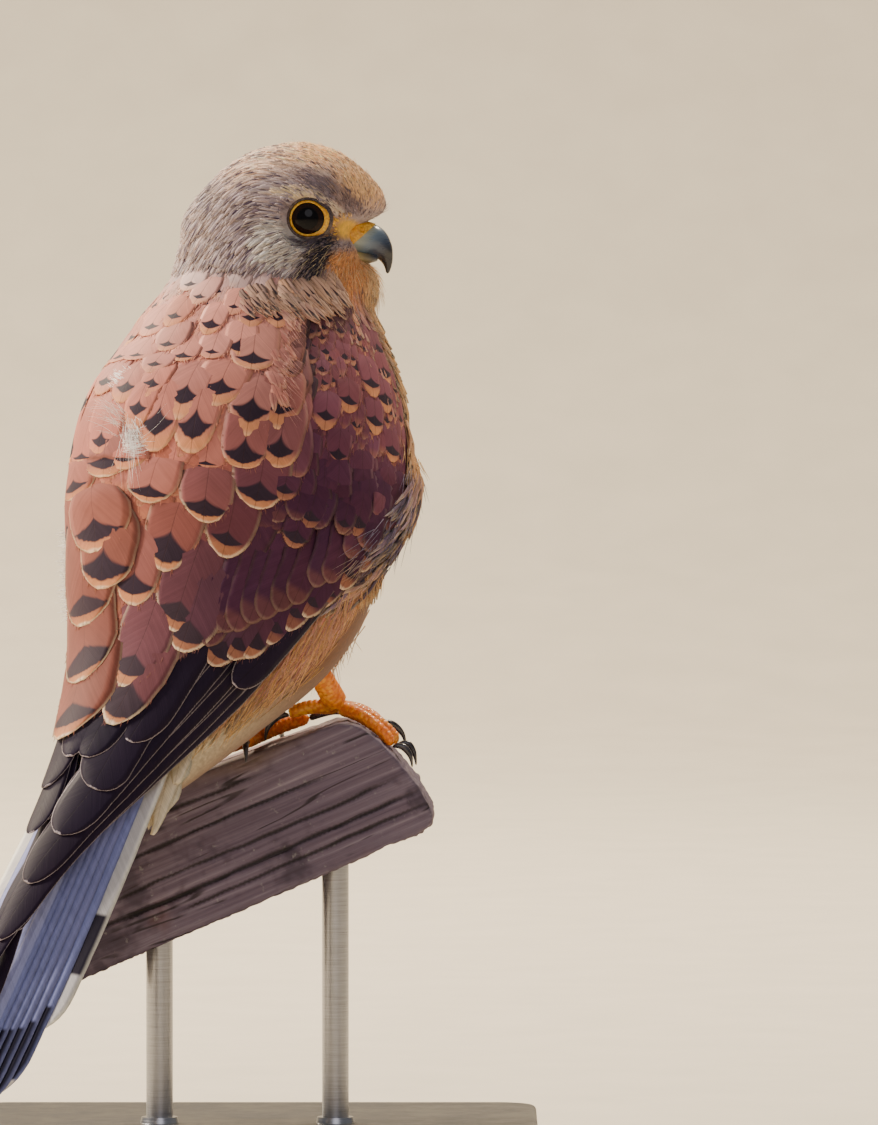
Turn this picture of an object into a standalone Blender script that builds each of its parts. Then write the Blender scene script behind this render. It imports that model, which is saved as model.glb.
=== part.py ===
"""Common kestrel, adult male, as a still life-size model gripping a short cut rail on a plain stand.

Metres, +Z up. +X runs along the perch towards the bird's bill, +Y runs away from the bird's back.
The bird's body has a middle plane that is turned from +X by BODY_TURN. Places on the body are
given in that plane as (forward, up), with a third number to the bird's right.
"""
import math

import bmesh
import bpy
import numpy as np
from mathutils import Matrix, Vector

MM = 0.001
GAP = 0.3 * MM
SEED = 7

# Size and pose of the body
BODY_TURN = math.radians(50.0)
BODY_Y = -13.0 * MM
TAIL_LENGTH = 153.0 * MM
WING_SKIN = 4.6 * MM
WING_FACE = -0.9 * MM
FLESH_VOXEL = 1.7 * MM
FLESH_SHARE = 0.085
LEG_VOXEL = 0.45 * MM
LEG_SHARE = 0.045

# Stations down the body: forward, up, half width, back height, belly depth, all in millimetres
BODY_STATIONS = (
    (9.0, 247.0, 20.0, 19.0, 19.0),
    (8.5, 238.0, 24.0, 23.0, 22.0),
    (7.8, 230.0, 25.6, 25.4, 26.0),
    (7.3, 222.0, 28.0, 28.0, 28.6),
    (6.0, 213.0, 32.5, 33.0, 33.5),
    (3.5, 200.0, 38.5, 39.5, 41.0),
    (-0.9, 184.4, 43.0, 46.0, 47.0),
    (-3.5, 171.0, 43.5, 46.5, 45.8),
    (-8.0, 155.0, 42.0, 43.0, 38.5),
    (-15.0, 139.0, 37.0, 35.0, 31.0),
    (-27.0, 122.0, 28.0, 24.0, 20.0),
    (-43.0, 104.0, 17.0, 13.0, 11.0),
    (-52.0, 94.0, 11.0, 8.0, 7.0),
)
# Stations of the folded wings' outer face, which leaves the body at the rump and lies over the tail
ROOF_STATIONS = (
    (8.5, 236.0, 22.0, 21.0, 22.0),
    (7.5, 223.4, 27.5, 28.0, 28.0),
    (6.0, 213.0, 33.5, 34.0, 34.0),
    (3.5, 200.0, 39.5, 40.5, 41.0),
    (-0.9, 184.4, 44.0, 47.0, 47.0),
    (-3.5, 171.0, 45.0, 48.0, 46.5),
    (-9.0, 155.0, 44.0, 46.0, 42.0),
    (-18.0, 139.0, 40.0, 39.0, 36.0),
    (-32.0, 120.0, 34.0, 28.5, 28.0),
    (-55.0, 98.0, 25.0, 17.5, 18.0),
    (-82.0, 73.0, 17.0, 11.0, 10.0),
    (-107.0, 42.0, 12.0, 7.5, 6.0),
    (-124.0, 20.0, 10.0, 6.0, 5.0),
)
# How much narrower the far wing lies than the near one, along the roof in millimetres
FAR_WING = ((20.0, 0.0), (55.0, 0.06), (100.0, 0.06), (150.0, 0.2), (190.0, 0.2), (240.0, 0.0))

# Head, level and turned to the bird's right so that the bill points along +X
EYE = (15.1 * MM, -8.0 * MM, 244.8 * MM)
EYE_SPREAD = 11.2 * MM
EYE_RADIUS = 6.3 * MM
LID_RADIUS = 4.9 * MM
LID_THICK = 0.95 * MM
LID_OUT = 4.5 * MM
EYE_DISH = (11.3 * MM, 8.0 * MM)
# Head stations along the bill's direction, from the eye: along, crown, underside, half width
HEAD_STATIONS = (
    (-33.6, -3.0, -9.0, 3.0),
    (-32.2, 1.6, -19.0, 9.5),
    (-28.3, 6.5, -23.0, 14.2),
    (-21.8, 13.2, -25.0, 17.6),
    (-13.0, 18.2, -25.0, 19.3),
    (-2.3, 20.3, -23.0, 18.9),
    (6.8, 18.4, -15.0, 14.8),
    (11.8, 15.6, -5.0, 10.4),
    (15.8, 12.2, -2.0, 8.0),
    (19.2, 8.4, 0.0, 5.4),
    (21.4, 4.8, 1.4, 2.4),
)
THROAT_CENTRE = (9.5 * MM, 0.0, -18.0 * MM)
THROAT_RADII = (9.8 * MM, 11.5 * MM, 9.0 * MM)

# Bill, from the eye: along, up, half height, half width
UPPER_BILL = (
    (8.0, -5.0, 3.6, 4.6),
    (12.5, -5.2, 4.1, 4.7),
    (16.5, -6.0, 4.2, 4.0),
    (19.0, -8.2, 3.1, 2.9),
    (20.3, -10.6, 1.8, 1.7),
    (20.7, -12.6, 1.0, 0.9),
    (20.6, -14.6, 0.35, 0.3),
)
LOWER_BILL = (
    (7.0, -9.4, 1.6, 4.4),
    (11.0, -10.0, 1.9, 4.2),
    (15.0, -10.5, 1.6, 3.2),
    (18.2, -10.5, 0.8, 1.8),
)
CERE_FRONT_TOP = (17.6 * MM, -1.6 * MM)
CERE_FRONT_FOOT = (10.6 * MM, -7.6 * MM)
NOSTRIL = (14.3 * MM, -2.8 * MM)
NOSTRIL_OUT = 4.6 * MM
NOSTRIL_RADIUS = 1.1 * MM

# Where the neck's two cuts pass, and a point that gives each cut's direction, in millimetres
NECK_TOP = ((3.0, -12.0, 227.0), (6.0, -10.0, 247.0))
NECK_FOOT = ((3.0, -12.0, 208.0), (4.0, -11.0, 228.0))

# Legs and toes as world points in millimetres. Each toe ends where its claw starts
RIGHT_HEEL = (3.6, -24.5, 143.0)
LEFT_HEEL = (17.0, 12.0, 136.0)
RIGHT_BALL = (22.6, -3.0, 117.2)
LEFT_BALL = (0.8, 4.0, 109.0)
TOES = {
    "right_back": ((22.6, -3.0, 117.0), (15.5, -3.4, 116.9), (9.8, -3.8, 115.4)),
    "right_inner": ((22.6, -3.0, 117.0), (28.5, 3.4, 115.6), (33.5, 7.6, 112.6)),
    "right_middle": ((22.6, -3.0, 117.0), (29.5, -3.8, 115.2), (35.0, -4.3, 111.6),
                     (38.6, -4.5, 107.9)),
    "right_outer": ((22.6, -3.0, 117.0), (28.5, -7.6, 115.0), (33.5, -9.6, 111.6),
                    (37.2, -10.3, 107.6)),
    "left_back": ((0.8, 4.0, 108.6), (-5.5, 2.6, 106.4), (-11.5, 1.8, 104.0)),
    "left_inner": ((0.8, 4.0, 108.6), (0.2, -4.4, 108.6), (-1.0, -11.0, 108.2)),
    "left_middle": ((0.8, 4.0, 108.6), (8.0, 6.6, 111.4), (15.0, 8.4, 113.6)),
    "left_outer": ((0.8, 4.0, 108.6), (5.0, 11.0, 110.0)),
}
CLAWS = {
    "right_back": ((9.8, -3.8, 115.4), (6.6, -4.0, 114.2), (4.4, -4.1, 111.6), (3.6, -4.1, 108.2)),
    "right_inner": ((33.5, 7.6, 112.6), (36.8, 9.4, 111.8), (39.4, 10.8, 109.4),
                    (40.6, 11.4, 105.9)),
    "right_middle": ((38.6, -4.5, 107.9), (41.0, -4.6, 107.4), (42.6, -4.7, 105.2),
                     (43.2, -4.7, 101.9)),
    "right_outer": ((37.2, -10.3, 107.6), (39.8, -10.6, 107.0), (41.6, -10.7, 104.8),
                    (42.2, -10.7, 101.7)),
    "left_back": ((-11.5, 1.8, 104.0), (-14.6, 1.4, 103.8), (-17.4, 1.1, 102.3),
                  (-18.6, 1.0, 100.1)),
    "left_inner": ((-1.0, -11.0, 108.2), (-1.2, -14.4, 108.4), (-1.1, -17.3, 106.6),
                   (-1.0, -18.2, 103.4)),
    "left_middle": ((15.0, 8.4, 113.6), (18.6, 9.6, 114.6), (21.6, 10.6, 114.9),
                    (24.4, 11.4, 114.3)),
    "left_outer": ((5.0, 11.0, 110.0), (6.6, 14.2, 110.2), (7.8, 17.2, 108.4),
                   (8.2, 18.2, 105.0)),
}
TARSUS_RADIUS = 2.1 * MM
TOE_RADIUS = 1.75 * MM
CLAW_RADIUS = 1.0 * MM

# Tail, in the bird's middle plane
TAIL_ROOT = (-30.8 * MM, 142.4 * MM)
TAIL_PITCH = math.radians(54.0)
TAIL_SHORTER = (0.0, 0.5, 1.5, 4.0, 9.0, 29.0)
TAIL_SPREAD = (1.0, 3.0, 5.2, 7.6, 10.0, 13.8)
TAIL_STEP = 0.85 * MM
TAIL_HALF_WIDTH = 8.2 * MM
VANE_THICK = 0.5 * MM

# The folded wing's leading edge: distance along the roof, angle round from the back
WING_LEAD = ((12.0, 84.0), (20.0, 98.0), (34.0, 114.0), (50.0, 116.0), (67.0, 108.0),
             (84.0, 90.0), (100.0, 81.0), (128.0, 79.0), (155.0, 77.0), (193.0, 66.0),
             (217.0, 60.0), (240.0, 50.0))
# Rows of wing feathers: how many, then first and last feather as
# (root along, root angle, tip along, tip angle, half width), millimetres and degrees,
# then how high the tips stand and how much each next feather is raised
WING_ROWS = (
    ("secondary", 4, (84.0, 75.0, 126.0, 66.0, 4.6), (92.0, 48.0, 150.0, 42.0, 4.8), 0.1, 0.1),
    ("tertial", 3, (80.0, 48.0, 134.0, 39.0, 7.0), (86.0, 15.0, 158.0, 14.0, 7.6), 0.5, 0.1),
    ("great_covert", 5, (56.0, 98.0, 92.0, 80.0, 5.6), (60.0, 56.0, 104.0, 54.0, 6.0), 0.6, 0.0),
    ("middle_covert", 4, (40.0, 104.0, 62.0, 96.0, 6.8), (44.0, 62.0, 74.0, 60.0, 7.2), 0.8, 0.0),
    ("scapular_low", 3, (60.0, 50.0, 92.0, 43.0, 8.2), (60.0, 14.0, 108.0, 14.0, 9.0), 0.9, 0.0),
    ("scapular", 3, (34.0, 50.0, 68.0, 45.0, 9.0), (36.0, 14.0, 76.0, 14.0, 9.4), 1.0, 0.0),
)
# Primaries, shortest and uppermost first, as (root along, root angle, tip along, tip angle,
# half width), then how low each tip lies in the near wing and in the far wing that it covers
PRIMARIES = (
    ((104.0, 44.0, 172.0, 35.0, 8.5), -0.7, -0.9),
    ((104.0, 52.0, 186.0, 36.0, 8.0), -1.5, -1.7),
    ((104.0, 58.0, 201.0, 28.0, 7.5), -2.3, -4.9),
    ((104.0, 64.0, 218.0, 5.0, 7.0), -3.1, -5.7),
    ((104.0, 70.0, 240.0, -45.0, 6.5), -3.9, -6.5),
)

# Perch: a sawn rail with a worn, rounded end, drawn in the XZ plane in millimetres
RAIL_PROFILE = ((-54.6, 85.9), (23.4, 113.9), (27.6, 113.2), (31.5, 111.0), (35.6, 107.6),
                (39.3, 103.5), (43.9, 98.1), (47.4, 91.6), (48.2, 88.2), (46.4, 85.4),
                (-54.6, 41.7))
RAIL_THICK = 32.0 * MM
RAIL_EDGE = 1.2 * MM

# Stand
BASE_SIZE = (150.0 * MM, 120.0 * MM)
BASE_HEIGHT = 8.0 * MM
BASE_CORNER = 10.0 * MM
BASE_EDGE = 1.0 * MM
ROD_RADIUS = 3.5 * MM
ROD_PLACES = (-24.0 * MM, 22.0 * MM)
ROD_SINK = 5.0 * MM
ROD_TOPS = (61.5 * MM, 81.4 * MM)


def smooth_rows(rows, count):
    """The rows of a table joined by a smooth curve and read at count even steps."""
    rows = np.array(rows, float)
    padded = np.vstack([2 * rows[0] - rows[1], rows, 2 * rows[-1] - rows[-2]])
    place = np.linspace(0, len(rows) - 1, count)
    index = np.minimum(place.astype(int), len(rows) - 2)
    t = (place - index)[:, None]
    a, b, c, d = (padded[index + k] for k in range(4))
    return 0.5 * (2 * b + (c - a) * t + (2 * a - 5 * b + 4 * c - d) * t**2
                  + (3 * b - a - 3 * c + d) * t**3)


def in_world(forward, right, up):
    """World points from places in the bird's middle plane."""
    x = forward * math.cos(BODY_TURN) + right * math.sin(BODY_TURN)
    y = BODY_Y + forward * math.sin(BODY_TURN) - right * math.cos(BODY_TURN)
    return np.stack([x, y, up + 0 * x], axis=-1)


class BodyTube:
    """A surface of elliptical sections strung along a curve in the bird's middle plane."""

    def __init__(self, stations, narrow=((0.0, 0.0),)):
        self.narrow = np.array(narrow)
        rows = smooth_rows(stations, 260) * MM
        self.path, self.sizes = rows[:, :2], rows[:, 2:]
        steps = np.linalg.norm(np.diff(self.path, axis=0), axis=1)
        self.along = np.concatenate([[0.0], np.cumsum(steps)])
        self.length = self.along[-1]
        tangent = np.gradient(self.path, axis=0)
        self.tangent = tangent / np.linalg.norm(tangent, axis=1)[:, None]

    def read(self, table, s):
        return np.stack([np.interp(s, self.along, column) for column in table.T], axis=-1)

    def radius(self, s, angle):
        """Distance from the curve, used to turn widths into angles."""
        half, back, belly = np.moveaxis(self.read(self.sizes, s), -1, 0)
        deep = np.where(np.cos(angle) >= 0, back, belly)
        return np.hypot(half * np.cos(angle), deep * np.sin(angle))

    def point(self, s, angle, lift=0.0):
        """The point at s along the curve and angle round from the back, towards the right."""
        s, angle = np.asarray(s, float), np.asarray(angle, float)
        centre, tangent = self.read(self.path, s), self.read(self.tangent, s)
        half, back, belly = np.moveaxis(self.read(self.sizes, s), -1, 0)
        less = np.interp(s / MM, self.narrow[:, 0], self.narrow[:, 1])
        half = half * np.where(np.sin(angle) < 0, 1 - less, 1)
        deep = np.where(np.cos(angle) >= 0, back, belly) + lift
        rise, side = deep * np.cos(angle), (half + lift) * np.sin(angle)
        forward = centre[..., 0] + tangent[..., 1] * rise
        up = centre[..., 1] - tangent[..., 0] * rise
        return in_world(forward, side, up)


BODY = BodyTube(BODY_STATIONS)
ROOF = BodyTube(ROOF_STATIONS, FAR_WING)


def material(name, colour, roughness, metallic=0.0):
    """A plain finish, shared by every piece that names it."""
    made = bpy.data.materials.get(name)
    if made is None:
        made = bpy.data.materials.new(name)
        made.use_nodes = True
        made.diffuse_color = (*colour, 1)
        shader = made.node_tree.nodes["Principled BSDF"]
        shader.inputs["Base Color"].default_value = (*colour, 1)
        shader.inputs["Roughness"].default_value = roughness
        shader.inputs["Metallic"].default_value = metallic
    return made


def add_object(name, bm, group):
    """Puts a bmesh in the scene as one object."""
    mesh = bpy.data.meshes.new(name)
    bm.normal_update()
    bmesh.ops.recalc_face_normals(bm, faces=bm.faces)
    bm.to_mesh(mesh)
    bm.free()
    made = bpy.data.objects.new(name, mesh)
    group.objects.link(made)
    return made


def reshape(bm, place):
    """Moves every vertex to where place() puts it."""
    points = np.array([v.co for v in bm.verts])
    for vertex, point in zip(bm.verts, place(points)):
        vertex.co = point


def round_form(name, group, place, around=24, rings=16):
    """A sphere reshaped by place(share along, angle round, roundness)."""
    bm = bmesh.new()
    bmesh.ops.create_uvsphere(bm, u_segments=around, v_segments=rings, radius=1)

    def moved(points):
        along = np.arccos(np.clip(-points[:, 2], -1, 1)) / math.pi
        return place(along, np.arctan2(points[:, 1], points[:, 0]))

    reshape(bm, moved)
    return add_object(name, bm, group)


def end_round(along, first, last):
    """1 along the middle of a form, falling to 0 at its ends over the shares first and last."""
    head = np.clip(along / first, 0, 1)
    foot = np.clip((1 - along) / last, 0, 1)
    return np.sqrt(head * (2 - head)) * np.sqrt(foot * (2 - foot))


def slab(name, group, across, lengths, place):
    """A thin closed form: a grid and its copy, cut into the same triangles, reshaped together."""
    bm = bmesh.new()
    bmesh.ops.create_grid(bm, x_segments=across, y_segments=lengths, size=1)
    bmesh.ops.triangulate(bm, faces=bm.faces)
    made = bmesh.ops.extrude_face_region(bm, geom=bm.faces[:])
    top = [g for g in made["geom"] if isinstance(g, bmesh.types.BMVert)]
    bmesh.ops.translate(bm, verts=top, vec=(0, 0, 1))
    reshape(bm, lambda p: place(p[:, 0], (p[:, 1] + 1) / 2, p[:, 2]))
    return add_object(name, bm, group)


def settle(target):
    """Applies every modifier of an object."""
    graph = bpy.context.evaluated_depsgraph_get()
    mesh = bpy.data.meshes.new_from_object(target.evaluated_get(graph))
    target.modifiers.clear()
    old, target.data = target.data, mesh
    bpy.data.meshes.remove(old)
    return target


def discard(*things):
    for thing in things:
        bpy.data.objects.remove(thing)


def keep_largest(target):
    """Keeps an object's largest closed surface."""
    bm = bmesh.new()
    bm.from_mesh(target.data)
    todo, best = set(bm.faces), []
    while todo:
        island, edge_of = [], [todo.pop()]
        while edge_of:
            face = edge_of.pop()
            island.append(face)
            near = {f for e in face.edges for f in e.link_faces} & todo
            todo -= near
            edge_of.extend(near)
        best = max(best, island, key=lambda faces: sum(f.calc_area() for f in faces))
    kept = set(best)
    bmesh.ops.delete(bm, geom=[f for f in bm.faces if f not in kept], context="FACES")
    bm.to_mesh(target.data)
    bm.free()
    return target


def combine(target, tools, operation, solver="EXACT"):
    """One Boolean of the target with every tool, which are then removed."""
    group = bpy.data.collections.new("tools of " + target.name)
    bpy.context.scene.collection.children.link(group)
    for tool in tools:
        for old in tool.users_collection:
            old.objects.unlink(tool)
        group.objects.link(tool)
    cut = target.modifiers.new("combine", "BOOLEAN")
    cut.operation, cut.solver = operation, solver
    cut.operand_type, cut.collection = "COLLECTION", group
    settle(target)
    discard(*tools)
    bpy.data.collections.remove(group)
    return keep_largest(target)


def fuse(name, group, pieces, voxel, soft_steps, share):
    """Closed pieces melted into one smooth closed form."""
    bm = bmesh.new()
    for piece in pieces:
        bm.from_mesh(piece.data)
    discard(*pieces)
    made = add_object(name, bm, group)
    remesh = made.modifiers.new("remesh", "REMESH")
    remesh.mode, remesh.voxel_size = "VOXEL", voxel
    soft = made.modifiers.new("soft", "SMOOTH")
    soft.factor, soft.iterations = 0.5, soft_steps
    fewer = made.modifiers.new("fewer", "DECIMATE")
    fewer.ratio = share
    return keep_largest(settle(made))


def copy_of(source, name, group):
    made = source.copy()
    made.data, made.name = source.data.copy(), name
    group.objects.link(made)
    return made


def cut_away(target, point, normal):
    """Cuts off what lies on the normal's side of a plane, and closes the cut."""
    bm = bmesh.new()
    bm.from_mesh(target.data)
    geom = bm.verts[:] + bm.edges[:] + bm.faces[:]
    bmesh.ops.bisect_plane(bm, geom=geom, plane_co=Vector(point), plane_no=Vector(normal),
                           clear_outer=True)
    bmesh.ops.holes_fill(bm, edges=[e for e in bm.edges if e.is_boundary], sides=0)
    bm.to_mesh(target.data)
    bm.free()
    return keep_largest(target)


def from_eye(along, side, up):
    """World points from places on the head, measured from the eye and the head's middle."""
    return np.stack([EYE[0] + along, EYE[1] + side, EYE[2] + up + 0 * along], axis=-1)


# Flesh

def tube_form(name, group, surface, first, last):
    """The whole of a body tube as one closed form with round ends."""
    def place(along, angle):
        s = along * surface.length
        path = surface.read(surface.path, s)
        centre = in_world(path[:, 0], 0, path[:, 1])
        ends = end_round(along, first, last)[:, None]
        return centre + (surface.point(s, angle) - centre) * ends

    return round_form(name, group, place, 36, 30)


def head_form(group):
    rows = smooth_rows(HEAD_STATIONS, 120) * MM

    def place(along, angle):
        x, top, foot, half = (np.interp(along, np.linspace(0, 1, len(rows)), c) for c in rows.T)
        ends = end_round(along, 0.06, 0.1)
        up = (top + foot) / 2 + (top - foot) / 2 * np.sin(angle) * ends
        return from_eye(x, half * np.cos(angle) * ends, up)

    return round_form("head_form", group, place, 32, 26)


def ellipsoid(name, group, centre, radii, around=20, rings=14):
    def place(along, angle):
        polar = along * math.pi
        return np.stack([centre[0] + radii[0] * np.sin(polar) * np.cos(angle),
                         centre[1] + radii[1] * np.sin(polar) * np.sin(angle),
                         centre[2] - radii[2] * np.cos(polar)], axis=-1)

    return round_form(name, group, place, around, rings)


def limb(name, group, stations, around=18, rings=14, ends=(0.2, 0.25)):
    """Round sections along a smooth path: stations are (point, radius)."""
    count = 40
    rows = smooth_rows([(*point, radius) for point, radius in stations], count)
    axis = Vector(rows[-1, :3] - rows[0, :3]).normalized()
    side = axis.orthogonal().normalized()
    other = axis.cross(side)

    def place(along, angle):
        row = np.stack([np.interp(along, np.linspace(0, 1, count), c) for c in rows.T], axis=-1)
        turn = np.outer(np.cos(angle), side) + np.outer(np.sin(angle), other)
        return row[:, :3] + turn * (row[:, 3] * end_round(along, *ends))[:, None]

    return round_form(name, group, place, around, rings)


def in_plane(forward, right, up):
    """One world point, from millimetres in the bird's middle plane."""
    return in_world(*(np.array(v * MM) for v in (forward, right, up)))


def thigh_form(name, group, side, heel):
    """A thigh and its feather trouser, from the belly down over the heel."""
    hip = in_plane(1.0, side * 17.0, 154.0)
    knee = in_plane(7.0, side * 15.0, 143.0)
    heel = np.array(heel) * MM
    return limb(name, group, [(hip, 16.5 * MM), (knee, 14 * MM), (heel, 8.0 * MM),
                              (heel + (0, 0, -6 * MM), 5.0 * MM)])


def vent_form(group):
    """The vent and undertail plumage, which hangs behind the feet."""
    places = ((0.0, 4.0, 142.0, 17.0), (-4.0, 5.0, 128.0, 14.0), (-9.0, 5.5, 115.0, 10.0),
              (-16.0, 5.0, 104.0, 4.0))
    return limb("vent_form", group, [(in_plane(*p[:3]), p[3] * MM) for p in places])


def flesh_form(group):
    """Head, neck, torso and thighs as one smooth closed form."""
    pieces = [
        tube_form("body_form", group, BODY, 0.05, 0.08),
        head_form(group),
        ellipsoid("throat_form", group, from_eye(*np.array(THROAT_CENTRE)), THROAT_RADII),
        thigh_form("thigh_form_right", group, 1, RIGHT_HEEL),
        thigh_form("thigh_form_left", group, -1, LEFT_HEEL),
        vent_form(group),
    ]
    return fuse("torso", group, pieces, FLESH_VOXEL, 8, FLESH_SHARE)


# Wings and tail

def half_width(v):
    """The outline of a feather from root to tip, as a share of its half width."""
    return np.interp(v, (0, 0.3, 0.6, 0.8, 0.93, 1), (0.45, 0.85, 1.0, 0.9, 0.62, 0.2))


def roof_vane(name, group, side, row, lifts, tilt, cells=4):
    """One wing feather laid on the wings' outer face."""
    s0, a0, s1, a1, half = row
    s0, s1, half = s0 * MM, s1 * MM, half * MM
    a0, a1 = math.radians(a0), math.radians(a1)

    def place(x, v, top):
        s, angle = s0 + (s1 - s0) * v, a0 + (a1 - a0) * v
        spread = x * half * half_width(v) / ROOF.radius(s, angle)
        lift = np.interp(v, (0, 0.14, 1), lifts) + tilt * x + (top - 0.5) * VANE_THICK
        return ROOF.point(s, side * (angle + spread), lift)

    return slab(name, group, 2, cells, place)


def wing_lead(s):
    rows = np.array(WING_LEAD)
    return np.interp(s / MM, rows[:, 0], rows[:, 1])


def wing_slab(name, group, side, grow=0.0):
    """The folded wing's body. grow widens it into the cutter that makes room for it."""
    def place(x, v, top):
        start = np.interp(x, (-1, 0.1, 1), (33, 25, 12)) * MM
        s = start + (152 * MM - start) * v
        angle = 0.2 + (wing_lead(s) - 0.2) * (x + 1) / 2
        inner = -np.interp(s / MM, (100, 130), (WING_SKIN / MM, 3.4)) * MM
        rim = np.clip(np.minimum(np.minimum(v, 1 - v) / 0.08, (1 - x) / 0.2), 0.4, 1)
        if grow:
            s = s + np.where(v < 0.01, -3 * grow, 0) + np.where(v > 0.99, 3 * grow, 0)
            angle = angle + np.where(x < -0.99, -8, 0) + np.where(x > 0.99, 1.2, 0)
            inner = inner - np.interp(s / MM, (95, 115), (0, 1.0)) * MM - grow
            return ROOF.point(s, side * np.radians(angle), np.where(top > 0.5, 6 * MM, inner))
        middle = (inner + WING_FACE) / 2
        lift = middle + (np.where(top > 0.5, WING_FACE, inner) - middle) * rim
        return ROOF.point(s, side * np.radians(angle), lift)

    return slab(name, group, 7, 9, place)


def wing(name, group, side, rng):
    """One folded wing: its body with rows of feathers over it, then its long primaries."""
    vanes = []
    for label, count, first, last, tip_lift, rise in WING_ROWS:
        for k in range(count):
            share = k / (count - 1)
            row = np.array(first) + (np.array(last) - np.array(first)) * share
            row[2] += rng.uniform(-1, 1)
            raised = (tip_lift + rise * k) * MM
            vanes.append(roof_vane(f"{name}_{label}_{k}", group, side, row,
                                   (-2.0 * MM, -0.1 * MM, raised), rng.uniform(0.52, 0.6) * MM))
    made = combine(wing_slab(name, group, side), vanes, "UNION")
    beyond = box("beyond", group, in_world(np.array(-60 * MM), np.array(-side * 99.85 * MM),
                                           np.array(130 * MM)),
                 (400 * MM, 200 * MM, 400 * MM), BODY_TURN)
    combine(made, [beyond], "DIFFERENCE")
    primaries = [roof_vane(f"{name}_primary_{k}", group, side, row,
                           (-2.6 * MM, -2.6 * MM, (near if side > 0 else far) * MM),
                           0.1 * MM, 7)
                 for k, (row, near, far) in enumerate(PRIMARIES)]
    combine(made, primaries, "UNION")
    made.name = name
    return made


def box(name, group, centre, size, turn=0.0):
    bm = bmesh.new()
    bmesh.ops.create_cube(bm, size=1)

    def place(points):
        x, y, z = (points * np.array(size)).T
        return np.stack([x * math.cos(turn) - y * math.sin(turn),
                         x * math.sin(turn) + y * math.cos(turn), z], axis=-1) + centre

    reshape(bm, place)
    return add_object(name, bm, group)


def tail_point(along, right, above):
    """A world point on the tail: along it from its root, to the right, and above its face."""
    forward = TAIL_ROOT[0] - along * math.cos(TAIL_PITCH) - above * math.sin(TAIL_PITCH)
    up = TAIL_ROOT[1] - along * math.sin(TAIL_PITCH) + above * math.cos(TAIL_PITCH)
    return in_world(forward, right, up)


def tail_vane(name, group, side, pair):
    length = TAIL_LENGTH - TAIL_SHORTER[pair] * MM
    spread = TAIL_SPREAD[pair] * MM
    depth = -pair * TAIL_STEP
    top_feather = pair == 0 and side > 0
    if pair == 0 and side < 0:
        depth = -TAIL_STEP

    def place(x, v, top):
        half = TAIL_HALF_WIDTH * np.interp(v, (0, 0.25, 0.6, 0.9, 0.97, 1),
                                           (0.4, 0.62, 0.9, 1.0, 0.75, 0.35))
        middle = spread * np.interp(length * v / MM, (0, 45, 150), (0.45, 0.95, 1.0))
        inner = middle - half if top_feather else np.maximum(middle - half, 0.4 * MM)
        right = inner + (middle + half - inner) * (x + 1) / 2
        tilt = -x * half * 0.07
        bow = -1.8 * MM * (right / (25 * MM)) ** 2
        return tail_point(length * v, side * right,
                          depth + tilt + bow + (top - 0.5) * VANE_THICK)

    return slab(name, group, 2, 5, place)


def tail_root(name, group, grow=0.0):
    def place(along, angle):
        polar = along * math.pi
        ring = np.sin(polar)
        return tail_point(24 * MM - (30 * MM + grow) * np.cos(polar),
                          (13 * MM + grow) * ring * np.cos(angle),
                          -2 * MM + (5.5 * MM + grow) * ring * np.sin(angle))

    return round_form(name, group, place, 20, 12)


def tail_room(group):
    """The cutter that makes room for the tail's feathers."""
    def place(x, v, top):
        half = np.interp(v, (0, 1), (13, 30)) * MM
        return tail_point(-1 * MM + 90 * MM * v, x * half,
                          np.where(top > 0.5, 1.8 * MM, -8.8 * MM))

    return slab("tail_room", group, 4, 4, place)


def tail(group):
    vanes = [tail_vane(f"tail_{side}_{pair}", group, side, pair)
             for pair in range(len(TAIL_SPREAD)) for side in (1, -1)]
    made = combine(tail_root("tail_root", group), vanes, "UNION")
    made.name = "tail"
    return made


# Head details

def eye_centre(side):
    return from_eye(np.array(0.0), side * EYE_SPREAD, np.array(0.0))


def lid_ring(name, group, side):
    """The bare ring round the eye, facing sideways."""
    bm = bmesh.new()
    circle = bmesh.ops.create_circle(bm, segments=6, radius=LID_THICK)["verts"]
    bmesh.ops.translate(bm, verts=circle, vec=(LID_RADIUS, 0, 0))
    edges = list({e for v in circle for e in v.link_edges})
    bmesh.ops.rotate(bm, verts=circle, matrix=Matrix.Rotation(math.pi / 2, 3, "X"))
    bmesh.ops.spin(bm, geom=circle + edges, axis=(0, 0, 1), angle=math.tau, steps=18)
    bmesh.ops.remove_doubles(bm, verts=bm.verts, dist=0.01 * MM)
    centre = eye_centre(side) + (0, side * LID_OUT, 0)
    reshape(bm, lambda p: p[:, [0, 2, 1]] + centre)
    return add_object(name, bm, group)


def bill_form(name, group, rows, grow=0.0):
    """A bill half: sections across a path, each with its own half height and width."""
    rows = smooth_rows(rows, 80) * MM
    tangent = np.gradient(rows[:, :2], axis=0)
    tangent /= np.linalg.norm(tangent, axis=1)[:, None]
    count = np.linspace(0, 1, len(rows))

    def place(along, angle):
        x, z, high, wide = (np.interp(along, count, c) for c in rows.T)
        tx, tz = (np.interp(along, count, c) for c in tangent.T)
        ends = end_round(along, 0.12, 0.05)
        high, wide = (high + grow) * ends * np.sin(angle), (wide + grow) * ends * np.cos(angle)
        return from_eye(x - tz * high, wide, z + tx * high)

    return round_form(name, group, place, 12, 12)


def cere_plane(shift):
    """A point on the line between cere and bill, and the direction across it."""
    top, foot = np.array(CERE_FRONT_TOP), np.array(CERE_FRONT_FOOT)
    line = (foot - top) / np.linalg.norm(foot - top)
    across = np.array((-line[1], line[0]))
    across *= np.sign(across[0])
    place = top + across * shift
    return from_eye(np.array(place[0]), 0, np.array(place[1])), (across[0], 0, across[1])


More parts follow.
